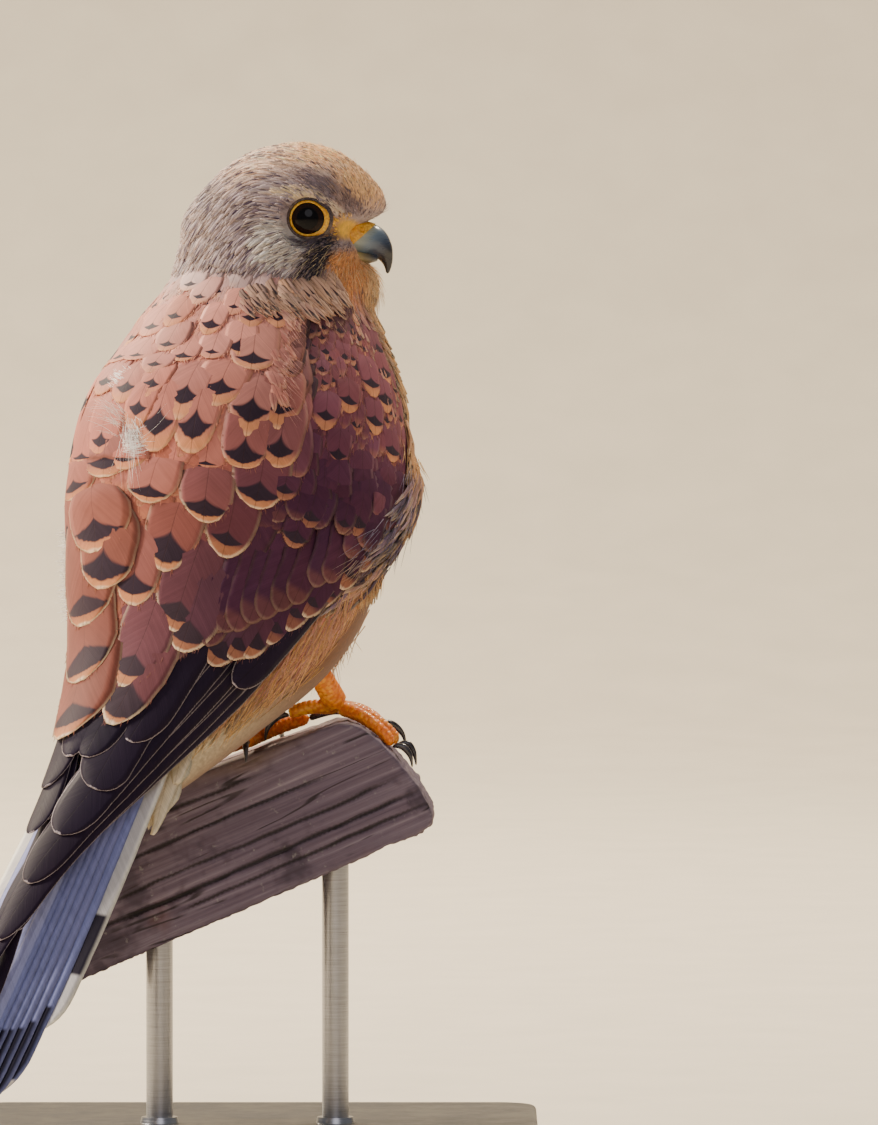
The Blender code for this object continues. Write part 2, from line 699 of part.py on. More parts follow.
def bill(group):
    """The cere, with its nostrils, and both halves of the horny bill."""
    upper = bill_form("bill_upper", group, UPPER_BILL)
    room = bill_form("upper_room", group, UPPER_BILL, GAP)
    lower = combine(bill_form("bill_lower", group, LOWER_BILL), [room], "DIFFERENCE")
    cere = copy_of(upper, "cere", group)
    point, normal = cere_plane(GAP / 2)
    cut_away(upper, point, -np.array(normal))
    point, normal = cere_plane(-GAP / 2)
    cut_away(cere, point, normal)
    nostrils = [ellipsoid("nostril", group,
                          from_eye(np.array(NOSTRIL[0]), side * NOSTRIL_OUT, np.array(NOSTRIL[1])),
                          (NOSTRIL_RADIUS,) * 3, 12, 8) for side in (1, -1)]
    combine(cere, nostrils, "DIFFERENCE")
    return cere, upper, lower


# Legs

def leg(name, group, side):
    """A bare tarsus with its four toes, each with a socket for its claw."""
    heel = np.array(RIGHT_HEEL if side == "right" else LEFT_HEEL) * MM
    ball = np.array(RIGHT_BALL if side == "right" else LEFT_BALL) * MM
    shin = limb("shin", group, [(heel, 2.4 * MM), (heel + (ball - heel) * 0.5, TARSUS_RADIUS),
                                (ball, 2.7 * MM)], 14, 12, (0.08, 0.06))
    toes = []
    for label in TOES:
        if label.startswith(side):
            path = [np.array(p) * MM for p in TOES[label]]
            toes.append(limb("toe_" + label, group,
                             [(p, TOE_RADIUS * (1.12 - 0.1 * k)) for k, p in enumerate(path)],
                             12, 12, (0.12, 0.12)))
    made = fuse(name, group, [shin, *toes], LEG_VOXEL, 3, LEG_SHARE)
    combine(made, [claw("room_" + label, group, label, GAP) for label in CLAWS
                   if label.startswith(side)], "DIFFERENCE")
    return made


def claw(name, group, label, grow=0.0):
    path = [np.array(p) * MM for p in CLAWS[label]]
    sizes = (1.0, 0.95, 0.68, 0.26)
    return limb(name, group, [(p, CLAW_RADIUS * size + grow) for p, size in zip(path, sizes)],
                7, 7, (0.1, 0.08))


def leg_room(name, group, side):
    """The cutter that makes room for a leg inside its trouser."""
    heel = np.array(RIGHT_HEEL if side == "right" else LEFT_HEEL) * MM
    ball = np.array(RIGHT_BALL if side == "right" else LEFT_BALL) * MM
    start = heel + (heel - ball) * 0.05
    return limb(name, group, [(start, 3.0 * MM), (heel + (ball - heel) * 0.5, 2.7 * MM),
                              (ball, 3.3 * MM)], 14, 12, (0.05, 0.06))


# Perch and stand

def rail(group):
    """The cut length of rail, with rod holes in its underside."""
    bm = bmesh.new()
    front = [bm.verts.new((x * MM, -RAIL_THICK / 2, z * MM)) for x, z in RAIL_PROFILE]
    face = bm.faces.new(front)
    made = bmesh.ops.extrude_face_region(bm, geom=[face])
    back = [g for g in made["geom"] if isinstance(g, bmesh.types.BMVert)]
    bmesh.ops.translate(bm, verts=back, vec=(0, RAIL_THICK, 0))
    bmesh.ops.bevel(bm, geom=bm.edges[:], offset=RAIL_EDGE, segments=1, affect="EDGES")
    made = add_object("perch_rail", bm, group)
    holes = [rod(f"rail_hole_{k}", group, k, GAP) for k in range(2)]
    return combine(made, holes, "DIFFERENCE")


def rod(name, group, index, grow=0.0):
    """A rod from a blind hole in the base to a blind hole in the rail."""
    foot, top = BASE_HEIGHT - ROD_SINK - grow, ROD_TOPS[index] + grow
    bm = bmesh.new()
    bmesh.ops.create_cone(bm, cap_ends=True, segments=20, radius1=ROD_RADIUS + grow,
                          radius2=ROD_RADIUS + grow, depth=top - foot)
    bmesh.ops.translate(bm, verts=bm.verts, vec=(ROD_PLACES[index], 0, (top + foot) / 2))
    return add_object(name, bm, group)


def base(group):
    bm = bmesh.new()
    bmesh.ops.create_cube(bm, size=1)
    bmesh.ops.scale(bm, verts=bm.verts, vec=(*BASE_SIZE, BASE_HEIGHT))
    bmesh.ops.translate(bm, verts=bm.verts, vec=(0, 0, BASE_HEIGHT / 2))
    upright = [e for e in bm.edges if abs(e.verts[0].co.z - e.verts[1].co.z) > BASE_HEIGHT / 2]
    bmesh.ops.bevel(bm, geom=upright, offset=BASE_CORNER, segments=5, affect="EDGES",
                    profile=0.5)
    rim = [e for e in bm.edges if all(v.co.z > BASE_HEIGHT * 0.9 for v in e.verts)]
    bmesh.ops.bevel(bm, geom=rim, offset=BASE_EDGE, segments=1, affect="EDGES", profile=0.5)
    made = add_object("stand_base", bm, group)
    return combine(made, [rod(f"base_hole_{k}", group, k, GAP) for k in range(2)], "DIFFERENCE")


def eyeball(name, group, side):
    return ellipsoid(name, group, eye_centre(side), (EYE_RADIUS,) * 3, 18, 12)


def split_flesh(whole, group):
    """Cuts the flesh into head, neck and torso, a small gap apart."""
    head, neck = copy_of(whole, "head", group), copy_of(whole, "neck", group)
    whole.name = "torso"
    for (low, high), lower, upper in ((NECK_TOP, neck, head), (NECK_FOOT, whole, neck)):
        along = Vector(high) - Vector(low)
        point = Vector(low) * MM
        normal = along.normalized()
        cut_away(lower, point - normal * GAP / 2, normal)
        cut_away(upper, point + normal * GAP / 2, -normal)
    return head, neck, whole


def build():
    for old in list(bpy.data.objects):
        bpy.data.objects.remove(old)
    rng = np.random.default_rng(SEED)
    group = bpy.data.collections.new("common_kestrel")
    bpy.context.scene.collection.children.link(group)

    whole = flesh_form(group)
    room = [ellipsoid("dish", group, eye_centre(side) + (0, side * EYE_DISH[0], 0),
                      (EYE_DISH[1],) * 3, 16, 10) for side in (1, -1)]
    combine(whole, room, "DIFFERENCE")
    combine(whole, [lid_ring(f"lid_{side}", group, side) for side in (1, -1)], "UNION")
    room = [ellipsoid("socket", group, eye_centre(side), (EYE_RADIUS + GAP,) * 3, 18, 12)
            for side in (1, -1)]
    room += [bill_form("upper_room", group, UPPER_BILL, GAP),
             bill_form("lower_room", group, LOWER_BILL, GAP)]
    room += [leg_room("leg_room_" + side, group, side) for side in ("right", "left")]
    room += [tail_root("root_room", group, GAP), tail_room(group)]
    for side in (1, -1):
        room.append(wing_slab("wing_room", group, side, GAP))
    for tool in room:
        combine(whole, [tool], "DIFFERENCE")
    head, neck, torso = split_flesh(whole, group)

    parts = {"head": head, "neck": neck, "torso": torso}
    parts["wing_right"] = wing("wing_right", group, 1, rng)
    parts["wing_left"] = wing("wing_left", group, -1, rng)
    parts["tail"] = tail(group)
    parts["cere"], parts["bill_upper"], parts["bill_lower"] = bill(group)
    for side, word in ((1, "right"), (-1, "left")):
        parts["eye_" + word] = eyeball("eye_" + word, group, -side)
        parts["leg_" + word] = leg("leg_" + word, group, word)
    for label in CLAWS:
        parts["claw_" + label] = claw("claw_" + label, group, label)
    parts["perch_rail"] = rail(group)
    parts["stand_base"] = base(group)
    for index, word in enumerate(("left", "right")):
        parts["stand_rod_" + word] = rod("stand_rod_" + word, group, index)
    for name, made in parts.items():
        made.name = name
        made.data.name = name
        made.data.materials.clear()
        made.data.materials.append(finish_of(name))


FINISHES = (
    ("eye", "eye", (0.02, 0.012, 0.01), 0.08),
    ("cere", "cere_skin", (0.85, 0.55, 0.05), 0.45),
    ("bill", "bill_horn", (0.16, 0.19, 0.22), 0.3),
    ("leg", "leg_skin", (0.9, 0.42, 0.03), 0.5),
    ("claw", "claw_horn", (0.05, 0.05, 0.055), 0.3),
    ("wing", "wing_plumage", (0.42, 0.2, 0.13), 0.8),
    ("tail", "tail_plumage", (0.3, 0.34, 0.4), 0.8),
    ("head", "head_plumage", (0.5, 0.45, 0.42), 0.85),
    ("neck", "body_plumage", (0.62, 0.46, 0.33), 0.85),
    ("torso", "body_plumage", (0.62, 0.46, 0.33), 0.85),
    ("perch", "perch_timber", (0.2, 0.16, 0.15), 0.85),
    ("stand_base", "stand_paint", (0.05, 0.05, 0.055), 0.45),
    ("stand_rod", "stand_steel", (0.6, 0.6, 0.62), 0.35, 1.0),
)


def finish_of(name):
    return next(material(*rest) for start, *rest in FINISHES if name.startswith(start))


build()
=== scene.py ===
"""Looks of a life-size common kestrel, adult male, that grips a cut rail on a plain stand.

Metres, +Z up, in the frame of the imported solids. The head faces +X, the back faces the camera.
Places on the body are given in its middle plane as (forward, up), with a third number to the
bird's right. Places on the wings are given as a distance along them and an angle round the back.
"""

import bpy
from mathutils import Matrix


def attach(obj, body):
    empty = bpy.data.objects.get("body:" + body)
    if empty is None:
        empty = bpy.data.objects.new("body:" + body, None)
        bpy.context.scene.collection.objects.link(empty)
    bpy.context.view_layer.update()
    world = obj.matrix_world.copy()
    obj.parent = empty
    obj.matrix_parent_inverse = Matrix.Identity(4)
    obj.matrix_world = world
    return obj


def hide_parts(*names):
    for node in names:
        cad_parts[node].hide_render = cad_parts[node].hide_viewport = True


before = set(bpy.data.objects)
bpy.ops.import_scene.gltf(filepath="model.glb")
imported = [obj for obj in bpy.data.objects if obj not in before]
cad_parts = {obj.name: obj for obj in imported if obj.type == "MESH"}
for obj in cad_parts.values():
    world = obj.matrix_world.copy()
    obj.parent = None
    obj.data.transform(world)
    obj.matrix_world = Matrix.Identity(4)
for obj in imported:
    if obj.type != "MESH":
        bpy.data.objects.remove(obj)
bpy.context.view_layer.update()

import math

import bmesh
import bpy
import numpy as np
from mathutils import Matrix, Vector
from mathutils.bvhtree import BVHTree

MM = 0.001
SEED = 11
RNG = np.random.default_rng(SEED)

# Size and pose, as in the solids
BODY_TURN = math.radians(50.0)
BODY_Y = -13.0 * MM
# Stations down the body: forward, up, half width, back height, belly depth, in millimetres
BODY_STATIONS = (
    (9.0, 247.0, 20.0, 19.0, 19.0), (8.5, 238.0, 24.0, 23.0, 22.0),
    (7.8, 230.0, 25.6, 25.4, 26.0), (7.3, 222.0, 28.0, 28.0, 28.6),
    (6.0, 213.0, 32.5, 33.0, 33.5), (3.5, 200.0, 38.5, 39.5, 41.0),
    (-0.9, 184.4, 43.0, 46.0, 47.0), (-3.5, 171.0, 43.5, 46.5, 45.8),
    (-8.0, 155.0, 42.0, 43.0, 38.5), (-15.0, 139.0, 37.0, 35.0, 31.0),
    (-27.0, 122.0, 28.0, 24.0, 20.0), (-43.0, 104.0, 17.0, 13.0, 11.0),
    (-52.0, 94.0, 11.0, 8.0, 7.0),
)
# Stations of the folded wings' outer face, over the back and out past the rump
ROOF_STATIONS = (
    (8.5, 236.0, 22.0, 21.0, 22.0), (7.5, 223.4, 27.5, 28.0, 28.0),
    (6.0, 213.0, 33.5, 34.0, 34.0), (3.5, 200.0, 39.5, 40.5, 41.0),
    (-0.9, 184.4, 44.0, 47.0, 47.0), (-3.5, 171.0, 45.0, 48.0, 46.5),
    (-9.0, 155.0, 44.0, 46.0, 42.0), (-18.0, 139.0, 40.0, 39.0, 36.0),
    (-32.0, 120.0, 34.0, 28.5, 28.0), (-55.0, 98.0, 25.0, 17.5, 18.0),
    (-82.0, 73.0, 17.0, 11.0, 10.0), (-107.0, 42.0, 12.0, 7.5, 6.0),
    (-124.0, 20.0, 10.0, 6.0, 5.0),
)
FAR_WING = ((20.0, 0.0), (55.0, 0.06), (100.0, 0.06), (150.0, 0.2), (190.0, 0.2), (240.0, 0.0))

# Head: it faces +X, and its places are measured from the eye and the head's middle
EYE = (15.1 * MM, -8.0 * MM, 244.8 * MM)
EYE_SPREAD = 11.2 * MM
EYE_RADIUS = 6.3 * MM
PUPIL_RADIUS = 2.9 * MM
LID_RADIUS = 4.9 * MM
LID_OUT = 4.5 * MM
EYE_DISH = (11.3 * MM, 8.0 * MM)
# Head stations: along from the eye, crown, underside, half width
HEAD_STATIONS = (
    (-33.6, -3.0, -9.0, 3.0), (-32.2, 1.6, -19.0, 9.5), (-28.3, 6.5, -23.0, 14.2),
    (-21.8, 13.2, -25.0, 17.6), (-13.0, 18.2, -25.0, 19.3), (-2.3, 20.3, -23.0, 18.9),
    (6.8, 18.4, -15.0, 14.8), (11.8, 15.6, -5.0, 10.4), (15.8, 12.2, -2.0, 8.0),
    (19.2, 8.4, 0.0, 5.4), (21.4, 4.8, 1.4, 2.4),
)
THROAT_CENTRE = (9.5 * MM, 0.0, -18.0 * MM)
THROAT_RADII = (9.8 * MM, 11.5 * MM, 9.0 * MM)
# Bill: along, up, half height, half width
UPPER_BILL = (
    (8.0, -5.0, 3.6, 4.6), (12.5, -5.2, 4.1, 4.7), (16.5, -6.0, 4.2, 4.0),
    (19.0, -8.2, 3.1, 2.9), (20.3, -10.6, 1.8, 1.7), (20.7, -12.6, 1.0, 0.9),
    (20.6, -14.6, 0.35, 0.3),
)
LOWER_BILL = ((7.0, -9.4, 1.6, 4.4), (11.0, -10.0, 1.9, 4.2), (15.0, -10.5, 1.6, 3.2),
              (18.2, -10.5, 0.8, 1.8))
CERE_FRONT_TOP = (17.6 * MM, -1.6 * MM)
CERE_FRONT_FOOT = (10.6 * MM, -7.6 * MM)
NOSTRIL = (14.3 * MM, -2.8 * MM)
NOSTRIL_OUT = 4.6 * MM
NOSTRIL_RADIUS = 1.1 * MM

# Legs, toes and claws, in millimetres. Each toe ends where its claw starts
RIGHT_HEEL, LEFT_HEEL = (9.5, -21.5, 142.0), (17.0, 12.0, 136.0)
RIGHT_BALL, LEFT_BALL = (22.6, -3.0, 117.2), (0.8, 4.0, 109.0)
TOES = {
    "right_back": ((22.6, -3.0, 117.0), (15.5, -3.4, 116.9), (9.8, -3.8, 115.4)),
    "right_inner": ((22.6, -3.0, 117.0), (28.5, 3.4, 115.6), (33.5, 7.6, 112.6)),
    "right_middle": ((22.6, -3.0, 117.0), (29.5, -3.8, 115.2), (35.0, -4.3, 111.6),
                     (38.6, -4.5, 107.9)),
    "right_outer": ((22.6, -3.0, 117.0), (28.5, -7.6, 115.0), (33.5, -9.6, 111.6),
                    (37.2, -10.3, 107.6)),
    "left_back": ((0.8, 4.0, 108.6), (-5.5, 2.6, 106.4), (-11.5, 1.8, 104.0)),
    "left_inner": ((0.8, 4.0, 108.6), (0.2, -4.4, 108.6), (-1.0, -11.0, 108.2)),
    "left_middle": ((0.8, 4.0, 108.6), (8.0, 6.6, 111.4), (15.0, 8.4, 113.6)),
    "left_outer": ((0.8, 4.0, 108.6), (5.0, 11.0, 110.0)),
}
CLAWS = {
    "right_back": ((9.8, -3.8, 115.4), (6.6, -4.0, 114.2), (4.4, -4.1, 111.6),
                   (3.6, -4.1, 108.2)),
    "right_inner": ((33.5, 7.6, 112.6), (36.8, 9.4, 111.8), (39.4, 10.8, 109.4),
                    (40.6, 11.4, 105.9)),
    "right_middle": ((38.6, -4.5, 107.9), (41.0, -4.6, 107.4), (42.6, -4.7, 105.2),
                     (43.2, -4.7, 101.9)),
    "right_outer": ((37.2, -10.3, 107.6), (39.8, -10.6, 107.0), (41.6, -10.7, 104.8),
                    (42.2, -10.7, 101.7)),
    "left_back": ((-11.5, 1.8, 104.0), (-14.6, 1.4, 103.8), (-17.4, 1.1, 102.3),
                  (-18.6, 1.0, 100.1)),
    "left_inner": ((-1.0, -11.0, 108.2), (-1.2, -14.4, 108.4), (-1.1, -17.3, 106.6),
                   (-1.0, -18.2, 103.4)),
    "left_middle": ((15.0, 8.4, 113.6), (18.6, 9.6, 114.6), (21.6, 10.6, 114.9),
                    (24.4, 11.4, 114.3)),
    "left_outer": ((5.0, 11.0, 110.0), (6.6, 14.2, 110.2), (7.8, 17.2, 108.4),
                   (8.2, 18.2, 105.0)),
}
TOE_RADIUS = 1.75 * MM
CLAW_RADIUS = 1.0 * MM

# Tail
TAIL_ROOT = (-30.8 * MM, 142.4 * MM)
TAIL_PITCH = math.radians(54.0)
TAIL_LENGTH = 153.0 * MM
TAIL_SHORTER = (0.0, 0.5, 1.5, 4.0, 9.0, 29.0)
TAIL_SPREAD = (1.0, 3.0, 5.2, 7.6, 10.0, 13.8)
TAIL_STEP = 0.85 * MM
TAIL_HALF_WIDTH = 8.2 * MM

# Perch and stand
RAIL_PROFILE = ((-54.6, 85.9), (23.4, 113.9), (27.6, 113.2), (31.5, 111.0), (35.6, 107.6),
                (39.3, 103.5), (43.9, 98.1), (47.4, 91.6), (48.2, 88.2), (46.4, 85.4),
                (-54.6, 41.7))
RAIL_THICK = 32.0 * MM
BASE_SIZE = (150.0 * MM, 120.0 * MM)
BASE_HEIGHT = 8.0 * MM
BASE_CORNER = 10.0 * MM
ROD_RADIUS = 3.5 * MM
ROD_PLACES = (-24.0 * MM, 22.0 * MM)
ROD_TOPS = (61.5 * MM, 81.4 * MM)

# Folded wings. The leading edge: distance along, angle round from the back
WING_LEAD = ((12.0, 84.0), (20.0, 98.0), (34.0, 114.0), (50.0, 116.0), (67.0, 108.0),
             (84.0, 90.0), (100.0, 81.0), (128.0, 79.0), (155.0, 77.0), (193.0, 66.0),
             (217.0, 60.0), (240.0, 50.0))
# Long feathers, uppermost first, as root along, root angle, tip along, tip angle, half width,
# tip lift in the near wing, tip lift in the far wing
PRIMARIES = (
    (104.0, 44.0, 172.0, 35.0, 8.5, -0.7, -0.9), (104.0, 52.0, 186.0, 36.0, 8.0, -1.5, -1.7),
    (104.0, 58.0, 201.0, 28.0, 7.5, -2.3, -4.9), (104.0, 64.0, 218.0, 5.0, 7.0, -3.1, -5.7),
    (104.0, 70.0, 240.0, -45.0, 6.5, -3.9, -6.5),
)
SECONDARIES = ((84.0, 77.0, 126.0, 68.0, 4.8, 0.1, 0.1), (92.0, 46.0, 150.0, 42.0, 5.4, 0.4, 0.4))


# Shapes

def smooth_rows(rows, count):
    """The rows of a table joined by a smooth curve and read at count even steps."""
    rows = np.array(rows, float)
    padded = np.vstack([2 * rows[0] - rows[1], rows, 2 * rows[-1] - rows[-2]])
    place = np.linspace(0, len(rows) - 1, count)
    index = np.minimum(place.astype(int), len(rows) - 2)
    t = (place - index)[:, None]
    a, b, c, d = (padded[index + k] for k in range(4))
    return 0.5 * (2 * b + (c - a) * t + (2 * a - 5 * b + 4 * c - d) * t**2
                  + (3 * b - a - 3 * c + d) * t**3)


def ease(low, high, value):
    """0 below low and 1 above high, with a soft step between. It falls where low is above high."""
    t = np.clip((value - low) / (high - low), 0, 1)
    return t * t * (3 - 2 * t)


def in_world(forward, right, up):
    """World points from places in the bird's middle plane."""
    x = forward * math.cos(BODY_TURN) + right * math.sin(BODY_TURN)
    y = BODY_Y + forward * math.sin(BODY_TURN) - right * math.cos(BODY_TURN)
    return np.stack([x, y, up + 0 * x], axis=-1)


def in_bird(points):
    """Forward, right and up in the bird's middle plane, from world points."""
    x, y = points[..., 0], points[..., 1] - BODY_Y
    return (x * math.cos(BODY_TURN) + y * math.sin(BODY_TURN),
            x * math.sin(BODY_TURN) - y * math.cos(BODY_TURN), points[..., 2])


def from_eye(along, side, up):
    """World points from places on the head, measured from the eye and the head's middle."""
    return np.stack([EYE[0] + along, EYE[1] + side, EYE[2] + up + 0 * along], axis=-1)


class BodyTube:
    """A surface of elliptical sections strung along a curve in the bird's middle plane."""

    def __init__(self, stations, narrow=((0.0, 0.0),)):
        self.narrow = np.array(narrow)
        rows = smooth_rows(stations, 260) * MM
        self.path, self.sizes = rows[:, :2], rows[:, 2:]
        steps = np.linalg.norm(np.diff(self.path, axis=0), axis=1)
        self.along = np.concatenate([[0.0], np.cumsum(steps)])
        self.length = self.along[-1]
        tangent = np.gradient(self.path, axis=0)
        self.tangent = tangent / np.linalg.norm(tangent, axis=1)[:, None]

    def read(self, table, s):
        return np.stack([np.interp(s, self.along, column) for column in table.T], axis=-1)

    def radius(self, s, angle):
        """Distance from the curve, used to turn widths into angles."""
        half, back, belly = np.moveaxis(self.read(self.sizes, s), -1, 0)
        deep = np.where(np.cos(angle) >= 0, back, belly)
        return np.hypot(half * np.cos(angle), deep * np.sin(angle))

    def point(self, s, angle, lift=0.0):
        """The point at s along the curve and angle round from the back, towards the right."""
        s, angle = np.asarray(s, float), np.asarray(angle, float)
        centre, tangent = self.read(self.path, s), self.read(self.tangent, s)
        half, back, belly = np.moveaxis(self.read(self.sizes, s), -1, 0)
        less = np.interp(s / MM, self.narrow[:, 0], self.narrow[:, 1])
        half = half * np.where(np.sin(angle) < 0, 1 - less, 1)
        deep = np.where(np.cos(angle) >= 0, back, belly) + lift
        rise, side = deep * np.cos(angle), (half + lift) * np.sin(angle)
        forward = centre[..., 0] + tangent[..., 1] * rise
        up = centre[..., 1] - tangent[..., 0] * rise
        return in_world(forward, side, up)


BODY = BodyTube(BODY_STATIONS)
ROOF = BodyTube(ROOF_STATIONS, FAR_WING)


def add_piece(name, bm, smooth=True, outward=True):
    """Puts a bmesh in the scene as one piece."""
    mesh = bpy.data.meshes.new(name)
    bm.normal_update()
    if outward:
        bmesh.ops.recalc_face_normals(bm, faces=bm.faces)
    bm.to_mesh(mesh)
    bm.free()
    mesh.shade_smooth() if smooth else mesh.shade_flat()
    piece = bpy.data.objects.new(name, mesh)
    bpy.context.scene.collection.objects.link(piece)
    return piece


def dress(piece, finish, slot, *nodes):
    """Gives a piece its finish, and hides the solids it stands for."""
    piece.data.materials.clear()
    piece.data.materials.append(finish)
    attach(piece, "root")
    if nodes:
        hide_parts(*nodes)
    return piece


def reshape(bm, place):
    """Moves every vertex to where place() puts it."""
    points = np.array([v.co for v in bm.verts])
    for vertex, point in zip(bm.verts, place(points)):
        vertex.co = point


def end_round(along, first, last):
    """1 along the middle of a form, falling to 0 at its ends over the shares first and last."""
    head = np.clip(along / first, 0, 1)
    foot = np.clip((1 - along) / last, 0, 1)
    return np.sqrt(head * (2 - head)) * np.sqrt(foot * (2 - foot))


def round_form(place, around=48, rings=36):
    """A sphere's bmesh reshaped by place(share along, angle round)."""
    bm = bmesh.new()
    bmesh.ops.create_uvsphere(bm, u_segments=around, v_segments=rings, radius=1)

    def moved(points):
        along = np.arccos(np.clip(-points[:, 2], -1, 1)) / math.pi
        return place(along, np.arctan2(points[:, 1], points[:, 0]))

    reshape(bm, moved)
    return bm


def ellipsoid(centre, radii, around=40, rings=28):
    def place(along, angle):
        polar = along * math.pi
        return np.stack([centre[0] + radii[0] * np.sin(polar) * np.cos(angle),
                         centre[1] + radii[1] * np.sin(polar) * np.sin(angle),
                         centre[2] - radii[2] * np.cos(polar)], axis=-1)

    return round_form(place, around, rings)


def limb(stations, around=32, rings=30, ends=(0.2, 0.25)):
    """Round sections along a smooth path: stations are (point, radius)."""
    count = 40
    rows = smooth_rows([(*point, radius) for point, radius in stations], count)
    axis = Vector(rows[-1, :3] - rows[0, :3]).normalized()
    side = axis.orthogonal().normalized()
    other = axis.cross(side)

    def place(along, angle):
        row = np.stack([np.interp(along, np.linspace(0, 1, count), c) for c in rows.T], axis=-1)
        turn = np.outer(np.cos(angle), side) + np.outer(np.sin(angle), other)
        return row[:, :3] + turn * (row[:, 3] * end_round(along, *ends))[:, None]

    return round_form(place, around, rings)


def settle(piece):
    """Applies every modifier of a piece."""
    graph = bpy.context.evaluated_depsgraph_get()
    mesh = bpy.data.meshes.new_from_object(piece.evaluated_get(graph))
    piece.modifiers.clear()
    old, piece.data = piece.data, mesh
    bpy.data.meshes.remove(old)
    return piece


def merge(name, forms, voxel, soft_steps, shrink=0.0):
    """Closed forms melted into one smooth skin, drawn in by shrink."""
    bm = bmesh.new()
    for form in forms:
        form.normal_update()
        bmesh.ops.recalc_face_normals(form, faces=form.faces)
        mesh = bpy.data.meshes.new("form")
        form.to_mesh(mesh)
        form.free()
        bm.from_mesh(mesh)
        bpy.data.meshes.remove(mesh)
    piece = add_piece(name, bm, outward=False)
    remesh = piece.modifiers.new("remesh", "REMESH")
    remesh.mode, remesh.voxel_size, remesh.use_smooth_shade = "VOXEL", voxel, True
    soft = piece.modifiers.new("soft", "SMOOTH")
    soft.factor, soft.iterations = 0.5, soft_steps
    if shrink:
        draw_in = piece.modifiers.new("draw_in", "DISPLACE")
        draw_in.mid_level, draw_in.strength = 0.0, -shrink
    settle(piece)
    piece.data.shade_smooth()
    return piece


def hollow(piece, forms):
    """Takes closed forms out of a piece."""
    for form in forms:
        tool = add_piece("tool", form)
        cut = piece.modifiers.new("cut", "BOOLEAN")
        cut.operation, cut.solver, cut.object = "DIFFERENCE", "EXACT", tool
        settle(piece)
        bpy.data.objects.remove(tool)
    return piece


def points_of(mesh):
    points = np.empty(len(mesh.vertices) * 3, np.float32)
    mesh.vertices.foreach_get("co", points)
    return points.reshape(-1, 3).astype(float)


def set_points(mesh, points):
    mesh.vertices.foreach_set("co", np.asarray(points, np.float32).ravel())
    mesh.update()


def tube_form(surface, first, last):
    """The whole of a body tube as one closed form with round ends."""
    def place(along, angle):
        s = along * surface.length
        path = surface.read(surface.path, s)
        centre = in_world(path[:, 0], 0, path[:, 1])
        ends = end_round(along, first, last)[:, None]
        return centre + (surface.point(s, angle) - centre) * ends

    return round_form(place, 72, 60)


def head_form():
    rows = smooth_rows(HEAD_STATIONS, 120) * MM

    def place(along, angle):
        x, top, foot, half = (np.interp(along, np.linspace(0, 1, len(rows)), c) for c in rows.T)
        ends = end_round(along, 0.06, 0.1)
        up = (top + foot) / 2 + (top - foot) / 2 * np.sin(angle) * ends
        return from_eye(x, half * np.cos(angle) * ends, up)

    return round_form(place, 64, 60)


def in_plane(forward, right, up):
    """One world point, from millimetres in the bird's middle plane."""
    return in_world(*(np.array(v * MM) for v in (forward, right, up)))


def thigh_form(side, heel):
    """A thigh and its feather trouser, from the belly down over the heel."""
    hip = in_plane(1.0, side * 17.0, 154.0)
    knee = in_plane(7.0, side * 15.0, 143.0)
    heel = np.array(heel) * MM
    return limb([(hip, 16.5 * MM), (knee, 14 * MM), (heel, 7.0 * MM),
                 (heel + (0, 0, -5 * MM), 4.6 * MM)])


def vent_form():
    """The vent and undertail, which hang behind the feet."""
    places = ((0.0, 4.0, 142.0, 17.0), (-5.0, 5.0, 131.0, 12.5), (-10.0, 5.5, 120.0, 8.0),
              (-16.0, 5.0, 109.0, 3.5))
    return limb([(in_plane(*p[:3]), p[3] * MM) for p in places])


def eye_centre(side):
    return from_eye(np.array(0.0), side * EYE_SPREAD, np.array(0.0))


def bill_form(rows, around=48, rings=64):
    """A bill half: sections across a path, each with its own half height and width."""
    rows = smooth_rows(rows, 80) * MM
    tangent = np.gradient(rows[:, :2], axis=0)
    tangent /= np.linalg.norm(tangent, axis=1)[:, None]
    count = np.linspace(0, 1, len(rows))

    def place(along, angle):
        x, z, high, wide = (np.interp(along, count, c) for c in rows.T)
        tx, tz = (np.interp(along, count, c) for c in tangent.T)
        ends = end_round(along, 0.12, 0.05)
        high, wide = high * ends * np.sin(angle), wide * ends * np.cos(angle)
        return from_eye(x - tz * high, wide, z + tx * high)

    return round_form(place, around, rings)


def tail_point(along, right, above):
    """A world point on the tail: along it from its root, to the right, and above its face."""
    forward = TAIL_ROOT[0] - along * math.cos(TAIL_PITCH) - above * math.sin(TAIL_PITCH)
    up = TAIL_ROOT[1] - along * math.sin(TAIL_PITCH) + above * math.cos(TAIL_PITCH)
    return in_world(forward, right, up)


# Feathers

def mark_share(length):
    """Where a feather's mark is centred, as a share of its length in metres."""
    return 1 - np.minimum(0.2, 5.6 * MM / length)


